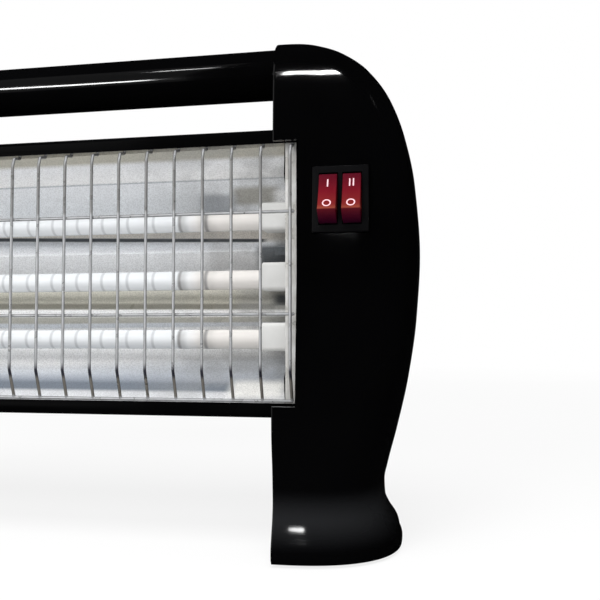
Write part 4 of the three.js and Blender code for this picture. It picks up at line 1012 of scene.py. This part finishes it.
# %% The guard's tree
guard_tree, sizes, put = node_tree(
    "wire_guard", Wire_Radius="Float", Bend="Float", Count="Int", First="Vector", Step="Vector",
    Finish="Material",
)
BEND_STEPS, WIRE_SIDES = 5, 10
bare = step(guard_tree, "GeometryNodeMeshToCurve", Mesh=sizes["Geometry"])
rounded = step(
    guard_tree, "GeometryNodeFilletCurve", mode="POLY", Curve=bare, Count=BEND_STEPS, Radius=sizes["Bend"],
)
circle = step(
    guard_tree, "GeometryNodeCurvePrimitiveCircle", Resolution=WIRE_SIDES, Radius=sizes["Wire Radius"],
)
wire = step(guard_tree, "GeometryNodeCurveToMesh", Curve=rounded, Profile_Curve=circle, Fill_Caps=True)
row = step(
    guard_tree, "GeometryNodeMeshLine", Count=sizes["Count"], Start_Location=sizes["First"],
    Offset=sizes["Step"],
)
copies = step(guard_tree, "GeometryNodeInstanceOnPoints", Points=row, Instance=wire)
last_steps(guard_tree, copies, sizes, put)


def wires(name, points, count, first, step, bend):
    obj = placed(name, points, [(i, i + 1) for i in range(len(points) - 1)], frame_of=head_frame)
    set_inputs(
        obj, guard_tree, Wire_Radius=WIRE * MM, Bend=bend * MM, Count=count, First=tuple(Vector(first) * MM),
        Step=tuple(Vector(step) * MM), Finish=paints["bright_wire"],
    )
    return obj


# %% The guard
WIRE, GUARD_END, GUARD_SPACES, REACH = 0.75, 142.6, 20, 4.2
LIP_Y, FOOT_Y, RUNG_Y, TIP, BEND_TOP, BEND_LOW = 2.35, 0.6, -REACH + 1.25, 64.6, 55.7, -46.7
rim_bottom, hook = -OPENING + FIT + WIRE, OPENING - FIT - WIRE
bent = [(0, LIP_Y, TIP), (0, LIP_Y, hook), (0, 1.3 - REACH, hook - 1.25), (0, -REACH, BEND_TOP)]
bent += [(0, -REACH, BEND_LOW), (0, FOOT_Y, rim_bottom)]
pitch = (2 * GUARD_END / GUARD_SPACES, 0, 0)
guard = wires("wire_guard", bent, GUARD_SPACES + 1, (-GUARD_END, 0, 0), pitch, 0.9)
long_wires = []
for name, depth, height, reach in (
    ("rung_upper", RUNG_Y, 28.35, 1.6), ("rung_lower", RUNG_Y, -19.99, 1.6),
    ("rim_top", LIP_Y, TIP, 0.4), ("rim_bottom", FOOT_Y, rim_bottom, 0.4),
):
    ends = [(-GUARD_END - reach, depth, height), (GUARD_END + reach, depth, height)]
    long_wires.append(wires(name, ends, 1, (0, 0, 0), (0, 0, 0), 0.0))
join_to(guard, long_wires)
finished(guard, "bright_wire", "chrome_wire", "guard_grille", angle=60)

# %% [markdown]
# ## Switch
# A black frame holds two red rockers side by side. Each rocker's face is a shallow hollow between two round
# ends, and carries a bar or two for on and a ring for off.

# %% The frame of the switch
BEZEL_X, BEZEL_Z, WELL_X, WELL_Z, ROCKER_X = 13.1, 15.6, 4.5, 12.3, 5.5
bezel = box("switch_frame", (-BEZEL_X, 0, -BEZEL_Z), (BEZEL_X, 2, BEZEL_Z), in_switch)
soft_edges(bezel, 0.5, 4, 60)
combine(bezel, box("block", (-12, 1, -14), (12, 19, 14), in_switch), "UNION")
for x in (-ROCKER_X, ROCKER_X):
    cut(bezel, box("well", (x - WELL_X, -12, -WELL_Z), (x + WELL_X, 12.6, WELL_Z), in_switch))
finished(bezel, "switch_black", "switch_black", "switch_body")

# %% The rockers
ROCKER_R, ROCKER_HALF, DISH, EDGE, TILT = 11.9, 4.2, 0.7, math.radians(39.4), math.radians(18)
face_out = ROCKER_R * math.sin(EDGE)
face_half = ROCKER_R * math.cos(EDGE)


def face_at(height):
    """How far out the hollow face lies at a height along it."""
    return face_out - DISH * (1 - (height / face_half) ** 2)


upper_end = arc(0, 0, ROCKER_R, -8, math.degrees(EDGE), 8)
outline = [(-out, height) for height, out in upper_end]
outline += [(-face_at(h), h) for h in (face_half * (1 - i / 8) for i in range(1, 16))]
outline += [(-out, -height) for height, out in reversed(upper_end)]
outline += [(6, -3), (6, 3)]
PRINT, BAR_HALF, RING_IN, RING_OUT, RING_AT, RING_SIDES = 0.06, 0.3, 1.45, 2.05, -6.0, 36
for name, x, marks in (("rocker_one", -ROCKER_X, [0.0]), ("rocker_two", ROCKER_X, [-0.85, 0.85])):
    seat = in_switch @ Matrix.Translation((x, 3, 0)) @ Matrix.Rotation(-TILT, 4, "X")
    rocker = drawn_out(name + "_cap", outline, -ROCKER_HALF, ROCKER_HALF, seat)
    soft_edges(rocker, 0.35, 3, 30)
    finished(rocker, "red_rocker", "red_rocker", name, body=name, angle=30)
    for number, offset in enumerate(marks):
        low, high = offset - BAR_HALF, offset + BAR_HALF
        strip = []
        for h in (2.9, 3.8, 4.8, 5.8, 6.7):
            under, over = -face_at(h) + 0.1, -face_at(h) - PRINT
            strip.append([(low, under, h), (high, under, h), (high, over, h), (low, over, h)])
        bar = new_object(f"{name}_bar_{number}", *skin(strip), seat)
        finished(bar, "pale_print", "red_rocker", body=name)
    rings = []
    for i in range(RING_SIDES):
        a = 2 * math.pi * i / RING_SIDES
        ring = []
        for r, lift in ((RING_IN, -0.1), (RING_OUT, -0.1), (RING_OUT, PRINT), (RING_IN, PRINT)):
            h = RING_AT + 0.94 * r * math.sin(a)
            ring.append((r * math.cos(a), -face_at(h) - lift, h))
        rings.append(ring)
    zero = new_object(name + "_ring", *round_skin(rings), seat)
    finished(zero, "pale_print", "red_rocker", body=name)

# %% [markdown]
# ## Handle, feet and the pieces inside
# The handle is a painted steel tube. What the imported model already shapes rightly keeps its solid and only
# gets its finish.

# %% The handle
HANDLE_Z, END = 233.4, 136.9
bar_line = [(10.8, -END), (12.0, -END), (12.3, -136.6), (12.3, 136.6), (12.0, END), (10.8, END)]
handle = turned("handle_bar", bar_line, 72, Matrix.Translation((0, RIDGE_Y, HANDLE_Z)))
finished(handle, "handle_enamel", "black_paint", "handle_tube")

# %% [markdown]
# ### Screws, feet and gland
# Four screws hold each inner cover. One screw is turned on the lathe and slotted, and Geometry Nodes set it
# on the four places, each at a chance angle. The feet and the cord gland are turned on the lathe too.

# %% Screws on their places
screw_tree, sizes, put = node_tree("screws_on_places", Screw="Object", Seed="Int", Finish="Material")
one_screw = add_node(screw_tree, "GeometryNodeObjectInfo", Object=sizes["Screw"])
by_chance = add_node(screw_tree, "FunctionNodeRandomValue", data_type="FLOAT", Seed=sizes["Seed"])
# The node has a pair of Min and Max and an output for each kind of value: for a plain number, 3 is Max.
by_chance.inputs[3].default_value = math.pi
set_screws = step(
    screw_tree, "GeometryNodeInstanceOnPoints", Points=sizes["Geometry"],
    Instance=one_screw.outputs["Geometry"],
    Rotation=step(screw_tree, "ShaderNodeCombineXYZ", X=by_chance.outputs[1]),
)
last_steps(screw_tree, set_screws, sizes, put)
SCREW_X = 136.9
SCREW_PLACES = {"front": (-37.76, 13.8), "rear": (29.5, 13.8), "middle": (23.6, 107.28), "top": (7.67, 210.6)}
head_line = [(0.0, -1.8), (0.9, -1.74), (1.8, -1.5), (2.5, -1.1), (2.85, -0.6), (2.9, -0.3), (2.9, 0.0)]
pattern = turned("screw_pattern", [*head_line, (1.3, 0.0), (1.3, 9.4), (0.9, 10.0), (0.0, 10.0)], 24)
cut(pattern, box("slot", (-3, -0.4, -4), (-0.9, 0.4, 4)))
for side, name in ((1, "right"), (-1, "left")):
    screws = placed(name + "_cover_screws", [(side * SCREW_X, y, z) for y, z in SCREW_PLACES.values()])
    set_inputs(screws, screw_tree, Screw=pattern, Seed=7 + side, Finish=paints["zinc_steel"])
    finished(screws, "zinc_steel", "zinc_steel", *(f"{name}_cover_screw_{at}" for at in SCREW_PLACES))
    mirror(pattern.data)
bpy.data.objects.remove(pattern)

# %% Feet and gland
FOOT_X, FOOT_FRONT, FOOT_REAR = 158, -42, 40
pad_line = [(0, 0.25), (1.6, 0), (5.1, 0), (5.7, 0.25), (6, 0.9), (6, 2.8), (0, 2.8)]
for side, x in (("right", FOOT_X), ("left", -FOOT_X)):
    for end, y in (("front", FOOT_FRONT), ("rear", FOOT_REAR)):
        foot = turned(f"{side}_{end}_foot_pad", pad_line, 40, Matrix.Translation((x, y, 0)), "Z")
        finished(foot, "foot_rubber", "foot_rubber", f"{side}_{end}_foot")
gland_line = [(3.6, 29.0), (3.9, 28.72), (4.8, 28.72), (5, 29.0), (5, 37.72)]
gland_line += [(7, 37.72), (7, 39.0), (6.4, 39.72), (4.1, 39.72), (3.6, 39.2)]
gland = turned("cord_gland_ring", gland_line, 48, Matrix.Translation(GLAND_PLACE), "Y")
finished(gland, "satin_black", "black_plastic", "cord_gland")

# %% The pieces that the glowing cards shine on
shone_on["handle"].objects.link(handle)
shone_on["right_casing"].objects.link(right_casing)

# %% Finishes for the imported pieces
KEPT = {
    "satin_black": ("inner_cover", "handle_plug", "tilt_switch_case"),
    "oxide_wire": ("heating_coil",),
    "strip_brass": ("strap", "switch_tab"),
    "zinc_steel": ("screw", "tilt_switch_pin", "tilt_pendulum", "thermal_cutout"),
    "glass_sleeve": ("lead_",),
    "white_ceramic": ("terminal_block",),
}
for node_name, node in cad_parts.items():
    for finish, words in KEPT.items():
        if any(word in node_name for word in words):
            node.data.materials.clear()
            node.data.materials.append(paints[finish])

# %% The end
bpy.context.scene.view_settings.view_transform = "Standard"
